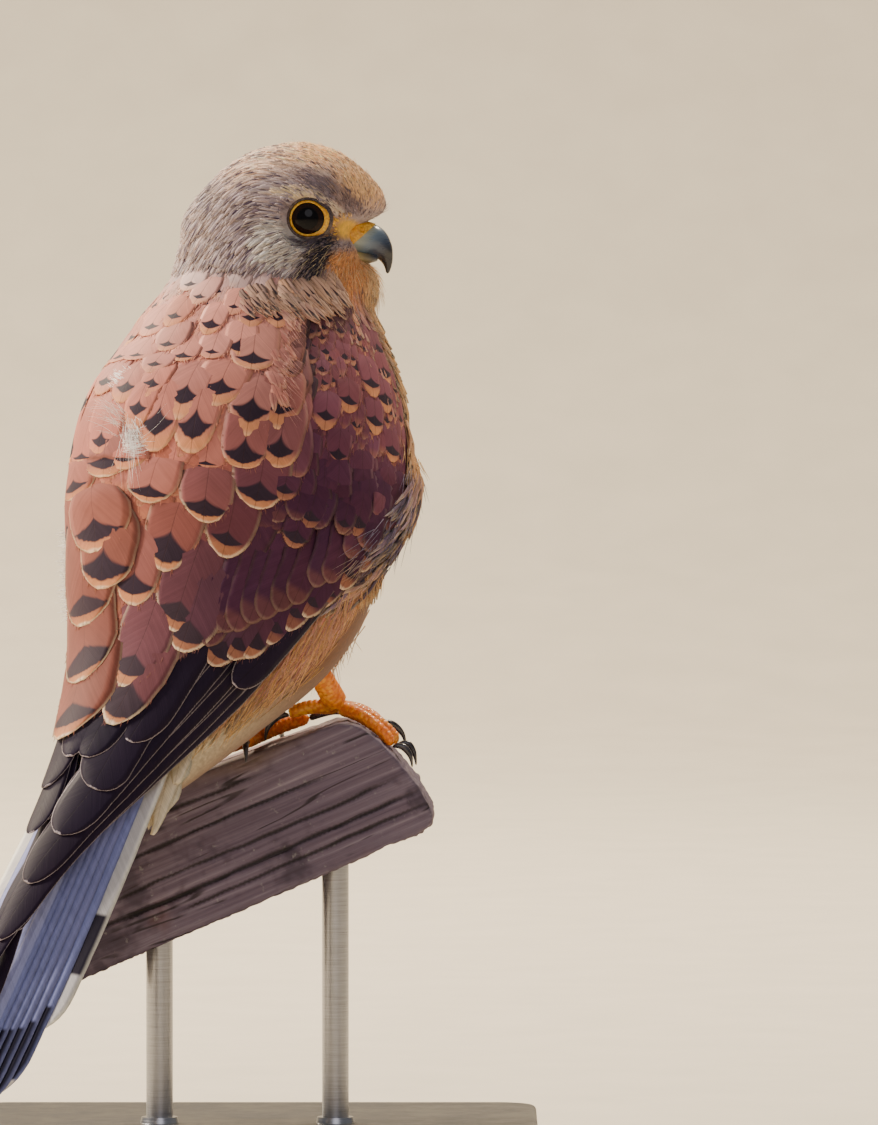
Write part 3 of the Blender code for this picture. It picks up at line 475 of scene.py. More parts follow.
class Coat:
    """Feathers gathered into one joined mesh, with what their finish reads from it.

    vane: places across and along each feather from its mark, in half widths
    lines: barbs from the root, distance to the rim and distance to the shaft, in millimetres
    tint: the feather's colour, and how pale its mark is
    marks: half width, half length and roundness of the mark, and how pale the rim is
    """

    def __init__(self):
        self.points, self.faces, self.vane = [], [], []
        self.lines, self.tint, self.marks, self.bake = [], [], [], []
        self.count = 0

    def add(self, points, faces, vane, lines, tint, marks, root):
        """points: feathers, across, along, 3. faces: one feather's. The rest are per feather or
        per point. root: each feather's place on the unwrap of the skin."""
        feathers, size = points.shape[0], points.shape[1] * points.shape[2]
        starts = self.count + np.arange(feathers) * size
        self.faces.append((starts[:, None, None] + faces[None]).reshape(-1, 4))
        self.points.append(points.reshape(-1, 3))
        for store, value, width in ((self.vane, vane, 2), (self.lines, lines, 3),
                                    (self.tint, tint, 4), (self.marks, marks, 4)):
            value = np.asarray(value, float)
            if value.ndim == 2:
                value = np.repeat(value[:, None], size, axis=1)
            store.append(value.reshape(-1, width))
        grid = np.stack(np.meshgrid(np.linspace(0, 1, points.shape[1]),
                                    np.linspace(0, 1, points.shape[2]), indexing="ij"), axis=-1)
        patch = np.clip(root, 0, 0.997)[:, None] + 0.003 * grid.reshape(1, -1, 2)
        self.bake.append(patch.reshape(-1, 2))
        self.count += feathers * size

    def piece(self, name):
        points, faces = np.concatenate(self.points), np.concatenate(self.faces)
        mesh = bpy.data.meshes.new(name)
        # A triangle is kept as a four-sided face that names its last corner twice
        sides = np.where(faces[:, 3] == faces[:, 2], 3, 4)
        corners = faces[np.arange(4)[None] < sides[:, None]]
        mesh.vertices.add(len(points))
        mesh.vertices.foreach_set("co", points.astype(np.float32).ravel())
        mesh.loops.add(len(corners))
        mesh.loops.foreach_set("vertex_index", corners.astype(np.int32))
        mesh.polygons.add(len(faces))
        mesh.polygons.foreach_set("loop_start", np.concatenate([[0], np.cumsum(sides)[:-1]]))
        mesh.update(calc_edges=True)
        mesh.shade_smooth()
        for label, store in (("vane", self.vane), ("OFBake", self.bake)):
            layer = mesh.uv_layers.new(name=label)
            layer.uv.foreach_set("vector",
                                 np.concatenate(store)[corners].astype(np.float32).ravel())
        for label, store, kind, key in (("lines", self.lines, "FLOAT_VECTOR", "vector"),
                                        ("tint", self.tint, "FLOAT_COLOR", "color"),
                                        ("marks", self.marks, "FLOAT_COLOR", "color")):
            layer = mesh.attributes.new(label, kind, "POINT")
            layer.data.foreach_set(key, np.concatenate(store).astype(np.float32).ravel())
        mesh.validate()
        made = bpy.data.objects.new(name, mesh)
        bpy.context.scene.collection.objects.link(made)
        return made


def vane_faces(across, stops):
    """One feather's faces: its arched upper side, a flat underside and both ends."""
    def at(i, j):
        return i * stops + j

    faces = []
    for j in range(stops - 1):
        for i in range(across - 1):
            faces.append((at(i, j), at(i + 1, j), at(i + 1, j + 1), at(i, j + 1)))
        faces.append((at(0, j), at(0, j + 1), at(across - 1, j + 1), at(across - 1, j)))
    for i in range(1, across - 1):
        faces.append((at(0, 0), at(i + 1, 0), at(i, 0), at(i, 0)))
        faces.append((at(0, stops - 1), at(i, stops - 1), at(i + 1, stops - 1),
                      at(i + 1, stops - 1)))
    return np.array(faces)


def vane_outline(v, root, widest, blunt):
    """Half width from root to tip: it widens from root to 1 and ends in a rounded tip."""
    grow = root + (1 - root) * ease(0, widest, v)
    past = np.clip((v - blunt) / (1 - blunt), 0, 1)
    return grow * np.sqrt(np.maximum(1 - past**2.2, 0.03))


class Vanes:
    """The flat shapes of many feathers at once, before they are laid on the bird."""

    def __init__(self, length, half, across=5, stops=7, root=0.35, widest=0.6, blunt=0.68,
                 ragged=0.0, rng=RNG):
        self.length, self.half = length, half
        count = len(length)
        self.x = np.linspace(-1, 1, across)[None, :, None]
        v = 1 - (1 - np.linspace(0, 1, stops)) ** 1.5
        self.v = v[None, None, :]
        outline = vane_outline(v, root, widest, blunt)[None, None]
        rough = 1 + ragged * rng.uniform(-1, 1, (count, 2, stops))
        side = np.where(self.x < 0, rough[:, :1], rough[:, 1:])
        wide = half[:, None, None] * outline * side
        self.lateral = self.x * wide
        push = ragged * 0.35 * rng.uniform(-1, 1, (count, across, 1)) * ease(0.6, 1, self.v)
        self.along = length[:, None, None] * (self.v + push * 0.5)
        self.along = self.along + 0 * self.lateral
        self.faces = vane_faces(across, stops)
        seed = rng.uniform(0, 900, (count, 1, 1))
        barbs = self.along / MM - 1.1 * np.abs(self.lateral) / MM + seed
        ends = (length[:, None, None] * (1 - self.v)) / MM
        rim = np.minimum(wide * (1 - np.abs(self.x)) / MM, ends + 0 * wide)
        self.lines = np.stack([barbs, rim, self.lateral / MM], axis=-1)
        self.vane = np.stack([self.lateral / half[:, None, None],
                              (self.along - (mark_share(length) * length)[:, None, None])
                              / half[:, None, None]], axis=-1)

    def into(self, coat, points, tint, marks, root):
        count = len(self.length)
        coat.add(points, self.faces, self.vane.reshape(count, -1, 2),
                 self.lines.reshape(count, -1, 3), tint, marks, root)


def frayed_edges(coat, rng, points, tint, each, reach=1.4):
    """Fine barbs past the outer half of each feather's edge, so that no edge is cut clean."""
    owner = np.repeat(np.arange(len(points)), each)
    count, across, stops = len(owner), points.shape[1], points.shape[2]
    edge = rng.integers(0, 2, count) * (across - 1)
    place = rng.uniform(0.5, 1.0, count) * (stops - 1.01)
    low = place.astype(int)
    part = (place - low)[:, None]

    def at(line):
        return points[owner, line, low] * (1 - part) + points[owner, line, low + 1] * part

    root, spine = at(edge), at(across // 2)
    heading = points[owner, across // 2, -1] - points[owner, across // 2, -3]
    heading /= np.linalg.norm(heading, axis=1)[:, None]
    out = (root - spine) / (np.linalg.norm(root - spine, axis=1)[:, None] + 1e-9)
    ways = heading + out * rng.uniform(0.0, 0.5, (count, 1))
    loose_strands(coat, root - out * 0.3 * MM, ways, rng.normal(0, 0.1, (count, 3)),
                  reach * rng.uniform(0.5, 1.2, count) * MM, rng.uniform(0.07, 0.14, count) * MM,
                  tint[owner], 3)


def roof_feathers(coat, side, rows, lifts, tint, marks, camber=0.5, tilt=0.35, fray=0, **shape):
    """Wing and back feathers laid on the wings' outer face.

    rows: root along, root angle, tip along, tip angle, half width and, for a feather that bends,
    how far round its middle lies. lifts: root and tip lift. side is 1 right and -1 left."""
    rows = np.atleast_2d(np.array(rows, float))
    bend = np.radians(rows[:, 5] if rows.shape[1] > 5 else 0 * rows[:, 0])
    lifts = np.broadcast_to(np.array(lifts, float), (len(rows), 2)) * MM
    s0, s1, half = rows[:, 0] * MM, rows[:, 2] * MM, rows[:, 4] * MM
    a0, a1 = np.radians(rows[:, 1]), np.radians(rows[:, 3])
    middle = ROOF.radius((s0 + s1) / 2, (a0 + a1) / 2)
    across_run = (a1 - a0) * middle
    length = np.hypot(s1 - s0, across_run)
    vanes = Vanes(length, half, **shape)
    share = vanes.along / length[:, None, None]
    run, turn = (s1 - s0) / length, across_run / length
    s = s0[:, None, None] + (s1 - s0)[:, None, None] * share - vanes.lateral * turn[:, None, None]
    s = np.clip(s, 0, ROOF.length)
    path = a0[:, None, None] + (a1 - a0)[:, None, None] * share
    path = path + bend[:, None, None] * 4 * share * (1 - share)
    angle = path + vanes.lateral * run[:, None, None] / ROOF.radius(s, path)
    lift = (lifts[:, :1, None] + (lifts[:, 1:, None] - lifts[:, :1, None])
            * np.clip(vanes.v / 0.5, 0, 1) ** 0.8)
    lift = lift + (tilt * vanes.x - camber * vanes.x**2 * (0.4 + 0.6 * vanes.v)) * MM
    points = ROOF.point(s, side * angle, lift)
    if side < 0:
        vanes.faces = np.where(vanes.faces[:, 2:3] == vanes.faces[:, 3:4],
                               vanes.faces[:, [0, 2, 1, 1]], vanes.faces[:, ::-1])
    root = np.stack([s0 / ROOF.length, 0.5 + side * a0 / math.tau], axis=-1)
    vanes.into(coat, points, tint, marks, root)
    if fray:
        frayed_edges(coat, shape["rng"], points, tint, fray)


AXIS = ((13.0, 0.0, 247.0), (7.0, 0.0, 215.0), (-2.0, 0.0, 175.0), (-14.0, 2.0, 140.0),
        (-30.0, 2.0, 105.0))


def unwrap(points):
    """Each point's place on the skin's own unwrap: round and along a line through the body."""
    forward, right, up = (c / MM for c in in_bird(points))
    line = np.array(AXIS)[::-1]
    middle = np.interp(up, line[:, 2], line[:, 0])
    round_share = np.arctan2(right, middle - forward) / math.tau + 0.5
    crown = np.degrees(np.arctan2(up - 247.0, np.hypot(forward - 13.0, right)))
    down = np.where(up > 247.0, 0.16 - 0.16 * np.clip(crown, 0, 90) / 90,
                    0.16 + 0.84 * (247.0 - up) / 157.0)
    return np.clip(np.stack([round_share, down], axis=-1), 0, 0.997)


class Skin:
    """The skin's surface, on which small feathers are laid."""

    def __init__(self, piece):
        mesh = piece.data
        mesh.calc_loop_triangles()
        self.points = points_of(mesh)
        self.triangles = np.empty(len(mesh.loop_triangles) * 3, np.int32)
        mesh.loop_triangles.foreach_get("vertices", self.triangles)
        self.triangles = self.triangles.reshape(-1, 3)
        normals = np.empty(len(mesh.vertices) * 3, np.float32)
        mesh.vertices.foreach_get("normal", normals)
        self.normals = normals.reshape(-1, 3).astype(float)
        self.tree = BVHTree.FromPolygons([Vector(p) for p in self.points],
                                         [tuple(t) for t in self.triangles.tolist()])
        corners = self.points[self.triangles]
        cross = np.cross(corners[:, 1] - corners[:, 0], corners[:, 2] - corners[:, 0])
        self.area = np.linalg.norm(cross, axis=1) / 2
        self.centres = corners.mean(axis=1)

    def drop(self, points):
        """The nearest points of the skin, with smooth normals."""
        where, normals = np.empty_like(points), np.empty_like(points)
        for k, point in enumerate(points):
            place, _, face, _ = self.tree.find_nearest(Vector(point))
            where[k] = place
            normals[k] = self.normals[self.triangles[face]].mean(axis=0)
        return where, normals / np.linalg.norm(normals, axis=1)[:, None]

    def roots(self, spacing, rng, wanted):
        """Even random places on the skin. spacing(points) is in metres and wanted(points) a mask."""
        gap = spacing(self.centres)
        chance = np.where(wanted(self.centres), self.area / gap**2, 0)
        count = rng.poisson(chance)
        face = np.repeat(np.arange(len(count)), count)
        a, b = rng.random((2, len(face)))
        flip = a + b > 1
        a, b = np.where(flip, 1 - a, a), np.where(flip, 1 - b, b)
        p, q, r = (self.points[self.triangles[face, k]] for k in range(3))
        return p + (q - p) * a[:, None] + (r - p) * b[:, None]

    def thin(self, roots, gap, rng):
        """Drops the roots that stand closer than gap to one that is kept."""
        order = rng.permutation(len(roots))
        cells, kept = {}, []
        for k in order:
            cell = tuple((roots[k] // gap[k]).astype(int))
            near = [cells.get((cell[0] + i, cell[1] + j, cell[2] + l))
                    for i in (-1, 0, 1) for j in (-1, 0, 1) for l in (-1, 0, 1)]
            if all(n is None or np.sum((roots[n] - roots[k]) ** 2) > gap[k] ** 2 for n in near):
                cells[cell] = k
                kept.append(k)
        return roots[np.sort(kept)]


def skin_feathers(coat, skin, roots, lie, length, half, rise, tint, marks, camber=0.35,
                  curl=0.0, **shape):
    """Small feathers rooted on the skin. lie(points, normals) is the way they point, and rise
    how high their tips stand."""
    vanes = Vanes(length, half, **shape)
    stops = vanes.v.shape[-1]
    step = np.diff(vanes.v[0, 0])
    place, normal = skin.drop(roots)
    middles, ups, ways = [], [], []
    heading = None
    for j in range(stops):
        way = lie(place, normal)
        if heading is not None:
            way = way + 1.2 * heading
        way = way - (way * normal).sum(-1, keepdims=True) * normal
        way /= np.linalg.norm(way, axis=1)[:, None] + 1e-9
        middles.append(place)
        ups.append(normal)
        ways.append(way)
        heading = way
        if j < stops - 1:
            place, normal = skin.drop(place + way * (length * step[j])[:, None])
    middles, ups, ways = (np.stack(v, axis=1)[:, None] for v in (middles, ups, ways))
    across = np.cross(ways, ups)
    lift = (-0.35 * MM + (rise[:, None, None] + 0.35 * MM) * vanes.v**0.8
            + curl * length[:, None, None] * ease(0.55, 1, vanes.v))
    drop = camber * half[:, None, None] * vanes.x**2
    points = (middles + across * vanes.lateral[..., None] + ups * (lift - drop)[..., None]
              + ways * (vanes.along - length[:, None, None] * vanes.v)[..., None])
    vanes.into(coat, points, tint, marks, unwrap(roots))


def loose_strands(coat, roots, ways, bends, length, half, tint, stops=6):
    """Thin tapering strands that leave the body: bends is how far each tip swings aside."""
    v = np.linspace(0, 1, stops)[None, None, :, None]
    length, half = length[:, None, None, None], half[:, None, None, None]
    roots, ways, bends = roots[:, None, None], ways[:, None, None], bends[:, None, None]
    middle = roots + ways * length * v + bends * length * v**2
    heading = ways + 2 * bends * v
    across = np.cross(heading, (0.2, -1.0, 0.1))
    across /= np.linalg.norm(across, axis=-1, keepdims=True) + 1e-9
    up = np.cross(across, heading)
    up /= np.linalg.norm(up, axis=-1, keepdims=True) + 1e-9
    wide = half * np.sqrt(1.02 - v)
    x = np.array((-1.0, 0.0, 1.0))[None, :, None, None]
    points = middle + across * wide * x + up * wide * (1 - np.abs(x)) * 1.2
    count = len(points)
    blank = np.zeros((count, 3 * stops))
    coat.add(points, vane_faces(3, stops), np.stack([blank + 9, blank + 0.5], axis=-1),
             np.stack([blank + 9, blank + 9, blank + 9], axis=-1), tint,
             np.zeros((count, 4)), unwrap(roots[:, 0, 0]))


# Finishes

def tone(red, green, blue):
    """A colour given as it looks on a screen, from 0 to 255."""
    share = np.array((red, green, blue)) / 255
    return tuple(np.where(share <= 0.04045, share / 12.92, ((share + 0.055) / 1.055) ** 2.4))


class Net:
    """A node tree with short words for the nodes that these finishes use."""

    def __init__(self, tree):
        self.tree = tree

    def node(self, kind, **settings):
        made = self.tree.nodes.new(kind)
        for name, value in settings.items():
            setattr(made, name, value)
        return made

    def wire(self, socket, value):
        if isinstance(value, bpy.types.NodeSocket):
            self.tree.links.new(value, socket)
        elif value is not None:
            if socket.type == "RGBA" and len(value) == 3:
                value = (*value, 1.0)
            socket.default_value = value

    def math(self, operation, *values, clamp=False):
        made = self.node("ShaderNodeMath", operation=operation, use_clamp=clamp)
        for socket, value in zip(made.inputs, values):
            self.wire(socket, value)
        return made.outputs[0]

    def step(self, value, low, high, to_low=0.0, to_high=1.0):
        """A soft step from to_low to to_high as value goes from low to high."""
        made = self.node("ShaderNodeMapRange", interpolation_type="SMOOTHSTEP")
        for name, given in (("Value", value), ("From Min", low), ("From Max", high),
                            ("To Min", to_low), ("To Max", to_high)):
            self.wire(made.inputs[name], given)
        return made.outputs[0]

    def mix(self, share, first, second, blend="MIX"):
        made = self.node("ShaderNodeMix", data_type="RGBA", blend_type=blend)
        for socket, value in ((made.inputs["Factor"], share), (made.inputs[6], first),
                              (made.inputs[7], second)):
            self.wire(socket, value)
        return made.outputs[2]

    def split(self, vector):
        made = self.node("ShaderNodeSeparateXYZ")
        self.wire(made.inputs[0], vector)
        return made.outputs

    def join(self, x, y, z):
        made = self.node("ShaderNodeCombineXYZ")
        for socket, value in zip(made.inputs, (x, y, z)):
            self.wire(socket, value)
        return made.outputs[0]

    def noise(self, vector, scale, detail=2.0, roughness=0.5, flat=False):
        made = self.node("ShaderNodeTexNoise", noise_dimensions="1D" if flat else "3D")
        self.wire(made.inputs["W" if flat else "Vector"], vector)
        self.wire(made.inputs["Scale"], scale)
        made.inputs["Detail"].default_value = detail
        made.inputs["Roughness"].default_value = roughness
        return made.outputs[0]

    def ramp(self, value, *stops):
        made = self.node("ShaderNodeValToRGB")
        self.wire(made.inputs[0], value)
        band = made.color_ramp
        while len(band.elements) < len(stops):
            band.elements.new(0.5)
        for element, (place, colour) in zip(band.elements, stops):
            element.position, element.color = place, (*colour, 1)
        return made.outputs[0]

    def bump(self, height, strength, distance):
        made = self.node("ShaderNodeBump")
        made.inputs["Strength"].default_value = strength
        made.inputs["Distance"].default_value = distance
        self.wire(made.inputs["Height"], height)
        return made.outputs[0]

    def object_place(self):
        return self.node("ShaderNodeTexCoord").outputs["Object"]

    def attribute(self, name):
        return self.node("ShaderNodeAttribute", attribute_name=name)


def group_net(name, inputs, outputs):
    """A new node group. inputs: (name, kind, value), outputs: (name, kind)."""
    tree = bpy.data.node_groups.new(name, "ShaderNodeTree")
    for label, kind, value in inputs:
        socket = tree.interface.new_socket(label, in_out="INPUT", socket_type=kind)
        if value is not None:
            socket.default_value = (*value, 1) if kind == "NodeSocketColor" else value
    for label, kind in outputs:
        tree.interface.new_socket(label, in_out="OUTPUT", socket_type=kind)
    net = Net(tree)
    return net, net.node("NodeGroupInput").outputs, net.node("NodeGroupOutput").inputs


def finish(name, roughness=0.5, **inputs):
    """A material with its Principled shader, and a net to build on."""
    made = bpy.data.materials.new(name)
    made.use_nodes = True
    net = Net(made.node_tree)
    shader = made.node_tree.nodes["Principled BSDF"]
    shader.inputs["Roughness"].default_value = roughness
    for label, value in inputs.items():
        net.wire(shader.inputs[label.replace("_", " ")], value)
    return made, net, shader.inputs


FLOAT, COLOUR, VECTOR = "NodeSocketFloat", "NodeSocketColor", "NodeSocketVector"
NEAR_BLACK = tone(52, 40, 52)
PALE_RIM = tone(240, 214, 182)


def feather_pattern():
    """The markings of one feather, drawn from what each vane carries."""
    net, given, out = group_net(
        "feather_pattern",
        (("Mark", COLOUR, NEAR_BLACK), ("Pale mark", COLOUR, tone(104, 86, 86)),
         ("Rim", COLOUR, PALE_RIM), ("Rim width", FLOAT, 0.8),
         ("Tip", COLOUR, tone(220, 140, 84)), ("Tip share", FLOAT, 0.0),
         ("Shaft", COLOUR, tone(60, 40, 40)), ("Shaft share", FLOAT, 0.5),
         ("Shaft width", FLOAT, 0.16), ("Barbs", FLOAT, 0.25), ("Rim all round", FLOAT, 0.2)),
        (("Colour", COLOUR), ("Height", FLOAT), ("Roughness", FLOAT)))
    vane = net.split(net.node("ShaderNodeUVMap", uv_map="vane").outputs[0])
    lines = net.split(net.attribute("lines").outputs["Vector"])
    tint = net.attribute("tint")
    marks = net.attribute("marks")
    mark = net.split(marks.outputs["Vector"])
    barb, rim, side = lines[0], lines[1], net.math("ABSOLUTE", lines[2])
    across = net.math("ABSOLUTE", vane[0])
    down = vane[1]
    bent = net.math("MULTIPLY_ADD", net.math("MULTIPLY", across, across), 0.14, down)
    fine = net.noise(barb, 2.2, 1.0, 0.6, flat=True)
    coarse = net.noise(barb, 0.45, 2.0, 0.6, flat=True)
    place = net.object_place()
    cloud = net.noise(place, 90.0, 3.0, 0.6)

    shade = net.math("MULTIPLY_ADD", net.math("SUBTRACT", fine, 0.5), given["Barbs"], 1.0)
    shade = net.math("MULTIPLY", shade,
                     net.math("MULTIPLY_ADD", net.math("SUBTRACT", coarse, 0.5), 0.35, 1.0))
    shade = net.math("MULTIPLY", shade,
                     net.math("MULTIPLY_ADD", net.math("SUBTRACT", cloud, 0.5), 0.5, 1.0))
    fringe = net.math("MULTIPLY", net.step(down, -0.1, 0.45), given["Tip share"])
    fringe = net.math("MULTIPLY", fringe, net.step(mark[0], 0.25, 0.8, 0.25, 1.0))
    own = net.split(tint.outputs["Color"])
    fringe = net.math("MULTIPLY", fringe, net.step(own[0], 0.03, 0.2, 0.35, 1.0))
    colour = net.mix(fringe, tint.outputs["Color"], given["Tip"])

    power = net.math("ADD", net.math("MULTIPLY", mark[2], 1.5),
                     net.step(bent, -0.04, 0.04, 0.6, 1.1))
    stretch = net.step(bent, -0.05, 0.05, 1.2, 0.8)
    wander = net.math("MULTIPLY_ADD", net.math("SUBTRACT", coarse, 0.5), 0.3, 1.0)
    wide = net.math("MULTIPLY", net.math("MAXIMUM", mark[0], 0.001), wander)
    long = net.math("MULTIPLY", net.math("MULTIPLY", mark[1], stretch), wander)
    long = net.math("MAXIMUM", long, 0.001)
    spot = net.math("ADD", net.math("POWER", net.math("DIVIDE", across, wide), power),
                    net.math("POWER", net.math("DIVIDE", net.math("ABSOLUTE", bent), long),
                             power))
    spot = net.step(spot, 1.12, 0.86)
    ink = net.mix(tint.outputs["Alpha"], given["Mark"], given["Pale mark"])
    colour = net.mix(spot, colour, ink)

    loose = net.math("MULTIPLY_ADD", net.math("SUBTRACT", fine, 0.5), 0.5, rim)
    pale = net.step(loose, net.math("MULTIPLY", given["Rim width"], 1.2),
                    net.math("MULTIPLY", given["Rim width"], 0.25))
    pale = net.math("MULTIPLY", net.math("MULTIPLY", pale, marks.outputs["Alpha"]),
                    net.step(down, -0.5, 0.35, given["Rim all round"], 1.0))
    colour = net.mix(pale, colour, given["Rim"])
    shaft = net.math("MULTIPLY", net.step(side, given["Shaft width"],
                                          net.math("MULTIPLY", given["Shaft width"], 0.4)),
                     given["Shaft share"])
    colour = net.mix(shaft, colour, given["Shaft"])
    grey = net.join(shade, shade, shade)
    net.wire(out["Colour"], net.mix(1.0, colour, grey, "MULTIPLY"))
    height = net.math("MULTIPLY_ADD", fine, 0.5, net.math("MULTIPLY", coarse, 0.5))
    net.wire(out["Height"], net.math("ADD", height, shaft))
    net.wire(out["Roughness"], net.math("MULTIPLY_ADD", fine, 0.2, 0.5))
    return net.tree


def plumage_finish(name, pattern, bands=(), **values):
    """A feather finish: the shared pattern with this finish's own colours and widths.

    bands: from, to and colour of bands across the feathers, in half widths from their mark."""
    made, net, shader = finish(name)
    drawn = net.node("ShaderNodeGroup", node_tree=pattern)
    for label, value in values.items():
        net.wire(drawn.inputs[label.replace("_", " ")], value)
    colour = drawn.outputs["Colour"]
    down = net.split(net.node("ShaderNodeUVMap", uv_map="vane").outputs[0])[1]
    rim = net.split(net.attribute("lines").outputs["Vector"])[1]
    for start, end, band in bands:
        share = net.math("MULTIPLY", net.step(down, start - 0.08, start + 0.08),
                         net.step(down, end + 0.08, end - 0.08))
        share = net.math("MULTIPLY", share, net.step(rim, 0.0, 0.5 if end > 3 else 1.6))
        colour = net.mix(share, colour, band)
    net.wire(shader["Base Color"], colour)
    net.wire(shader["Roughness"], drawn.outputs["Roughness"])
    net.wire(shader["Normal"], net.bump(drawn.outputs["Height"], 0.5, 0.15 * MM))
    shader["Sheen Weight"].default_value = 0.02
    shader["Sheen Roughness"].default_value = 0.5
    shader["Specular IOR Level"].default_value = 0.08
    return made


def down_finish(name, roughness=0.85):
    """Skin and fine strands: the colour that each point carries, with a soft grain."""
    made, net, shader = finish(name, roughness)
    place = net.object_place()
    grain = net.noise(place, 900.0, 2.0, 0.6)
    colour = net.mix(1.0, net.attribute("tint").outputs["Color"],
                     net.ramp(grain, (0.25, (0.72, 0.72, 0.72)), (0.75, (1.25, 1.25, 1.25))),
                     "MULTIPLY")
    net.wire(shader["Base Color"], colour)
    net.wire(shader["Roughness"], net.math("MULTIPLY_ADD", grain, 0.2, roughness - 0.1))
    net.wire(shader["Normal"], net.bump(grain, 0.4, 0.2 * MM))
    shader["Sheen Weight"].default_value = 0.15
    return made


def eye_finish():
    """A dark brown iris round a black pupil, under a clear wet surface."""
    made, net, shader = finish("eye", 0.06)
    x, _, z = net.split(net.object_place())[:3]
    x, z = net.math("SUBTRACT", x, EYE[0]), net.math("SUBTRACT", z, EYE[2])
    out = net.math("SQRT", net.math("ADD", net.math("MULTIPLY", x, x),
                                    net.math("MULTIPLY", z, z)))
    turn = net.math("ARCTAN2", z, x)
    rays = net.noise(turn, 9.0, 3.0, 0.6, flat=True)
    iris = net.ramp(rays, (0.2, tone(24, 14, 10)), (0.8, tone(44, 27, 18)))
    share = net.step(out, PUPIL_RADIUS - 0.25 * MM, PUPIL_RADIUS + 0.15 * MM)
    colour = net.mix(share, tone(10, 8, 10), iris)
    colour = net.mix(net.step(out, 3.7 * MM, 4.2 * MM), colour, tone(14, 9, 8))
    net.wire(shader["Base Color"], colour)
    net.wire(shader["Roughness"], net.math("MULTIPLY_ADD", rays, 0.03, 0.05))
    shader["Specular IOR Level"].default_value = 0.1
    shader["Coat Weight"].default_value = 0.1
    shader["Coat Roughness"].default_value = 0.02
    return made


def bare_skin_finish(name, main, deep, pale, scale, gloss):
    """Waxy bare skin: fine wrinkles, darker creases and paler worn rises."""
    made, net, shader = finish(name, gloss)
    place = net.object_place()
    cells = net.node("ShaderNodeTexVoronoi", feature="F1")
    net.wire(cells.inputs["Vector"], place)
    cells.inputs["Scale"].default_value = scale
    crease = net.step(cells.outputs["Distance"], 0.25, 0.75)
    cloud = net.noise(place, 160.0, 3.0, 0.6)
    colour = net.mix(net.step(cloud, 0.35, 0.7), main, pale)
    colour = net.mix(net.math("MULTIPLY", crease, 0.6), colour, deep)
    net.wire(shader["Base Color"], colour)
    net.wire(shader["Roughness"], net.math("MULTIPLY_ADD", crease, 0.25, gloss))
    bump = net.math("SUBTRACT", net.math("MULTIPLY", cloud, 0.4), crease)
    net.wire(shader["Normal"], net.bump(bump, 0.5, 0.12 * MM))
    shader["Subsurface Weight"].default_value = 0.12
    shader["Subsurface Scale"].default_value = 0.8 * MM
    shader["Coat Weight"].default_value = 0.15
    return made


def bill_finish():
    """Blue-grey horn that darkens to a black tip and pales to yellow-green at the base."""
    made, net, shader = finish("bill_horn", 0.28)
    place = net.object_place()
    x, _, z = net.split(place)[:3]
    along = net.math("SUBTRACT", net.math("MULTIPLY", net.math("SUBTRACT", x, EYE[0]), 0.75),
                     net.math("MULTIPLY", net.math("SUBTRACT", z, EYE[2]), 0.66))
    streak = net.noise(net.join(net.math("MULTIPLY", x, 0.25), 0.0, z), 900.0, 2.0, 0.6)
    along = net.math("MULTIPLY_ADD", net.math("SUBTRACT", streak, 0.5), 2.2 * MM, along)
    share = net.step(along, 10.5 * MM, 24.5 * MM)
    colour = net.ramp(share, (0.0, tone(176, 170, 110)), (0.16, tone(142, 152, 140)),
                      (0.38, tone(98, 116, 132)), (0.66, tone(56, 66, 86)),
                      (0.9, tone(26, 26, 34)))
    net.wire(shader["Base Color"], colour)
    net.wire(shader["Roughness"], net.math("MULTIPLY_ADD", streak, 0.18, 0.2))
    net.wire(shader["Normal"], net.bump(streak, 0.25, 0.08 * MM))
    shader["Coat Weight"].default_value = 0.4
    shader["Coat Roughness"].default_value = 0.2
    return made


def lower_bill_finish():
    """Olive-yellow horn with a dark tip."""
    made, net, shader = finish("lower_bill_horn", 0.32)
    x = net.split(net.object_place())[0]
    grain = net.noise(net.object_place(), 700.0, 2.0, 0.6)
    share = net.math("MULTIPLY_ADD", net.math("SUBTRACT", grain, 0.5), 1.5 * MM, x)
    colour = net.ramp(net.step(share, EYE[0] + 8 * MM, EYE[0] + 19 * MM),
                      (0.0, tone(206, 158, 62)), (0.5, tone(160, 142, 92)),
                      (0.95, tone(60, 62, 70)))
    net.wire(shader["Base Color"], colour)
    net.wire(shader["Roughness"], net.math("MULTIPLY_ADD", grain, 0.2, 0.25))
    net.wire(shader["Normal"], net.bump(grain, 0.2, 0.06 * MM))
    return made


def claw_finish():
    made, net, shader = finish("claw_horn", 0.25)
    grain = net.noise(net.object_place(), 500.0, 3.0, 0.6)
    net.wire(shader["Base Color"], net.ramp(grain, (0.3, tone(30, 28, 32)),
                                            (0.7, tone(66, 62, 68))))
    net.wire(shader["Roughness"], net.math("MULTIPLY_ADD", grain, 0.25, 0.15))
    shader["Coat Weight"].default_value = 0.3
    return made


RAIL_SLOPE = math.atan2(85.4 - 41.7, 46.4 + 54.6)


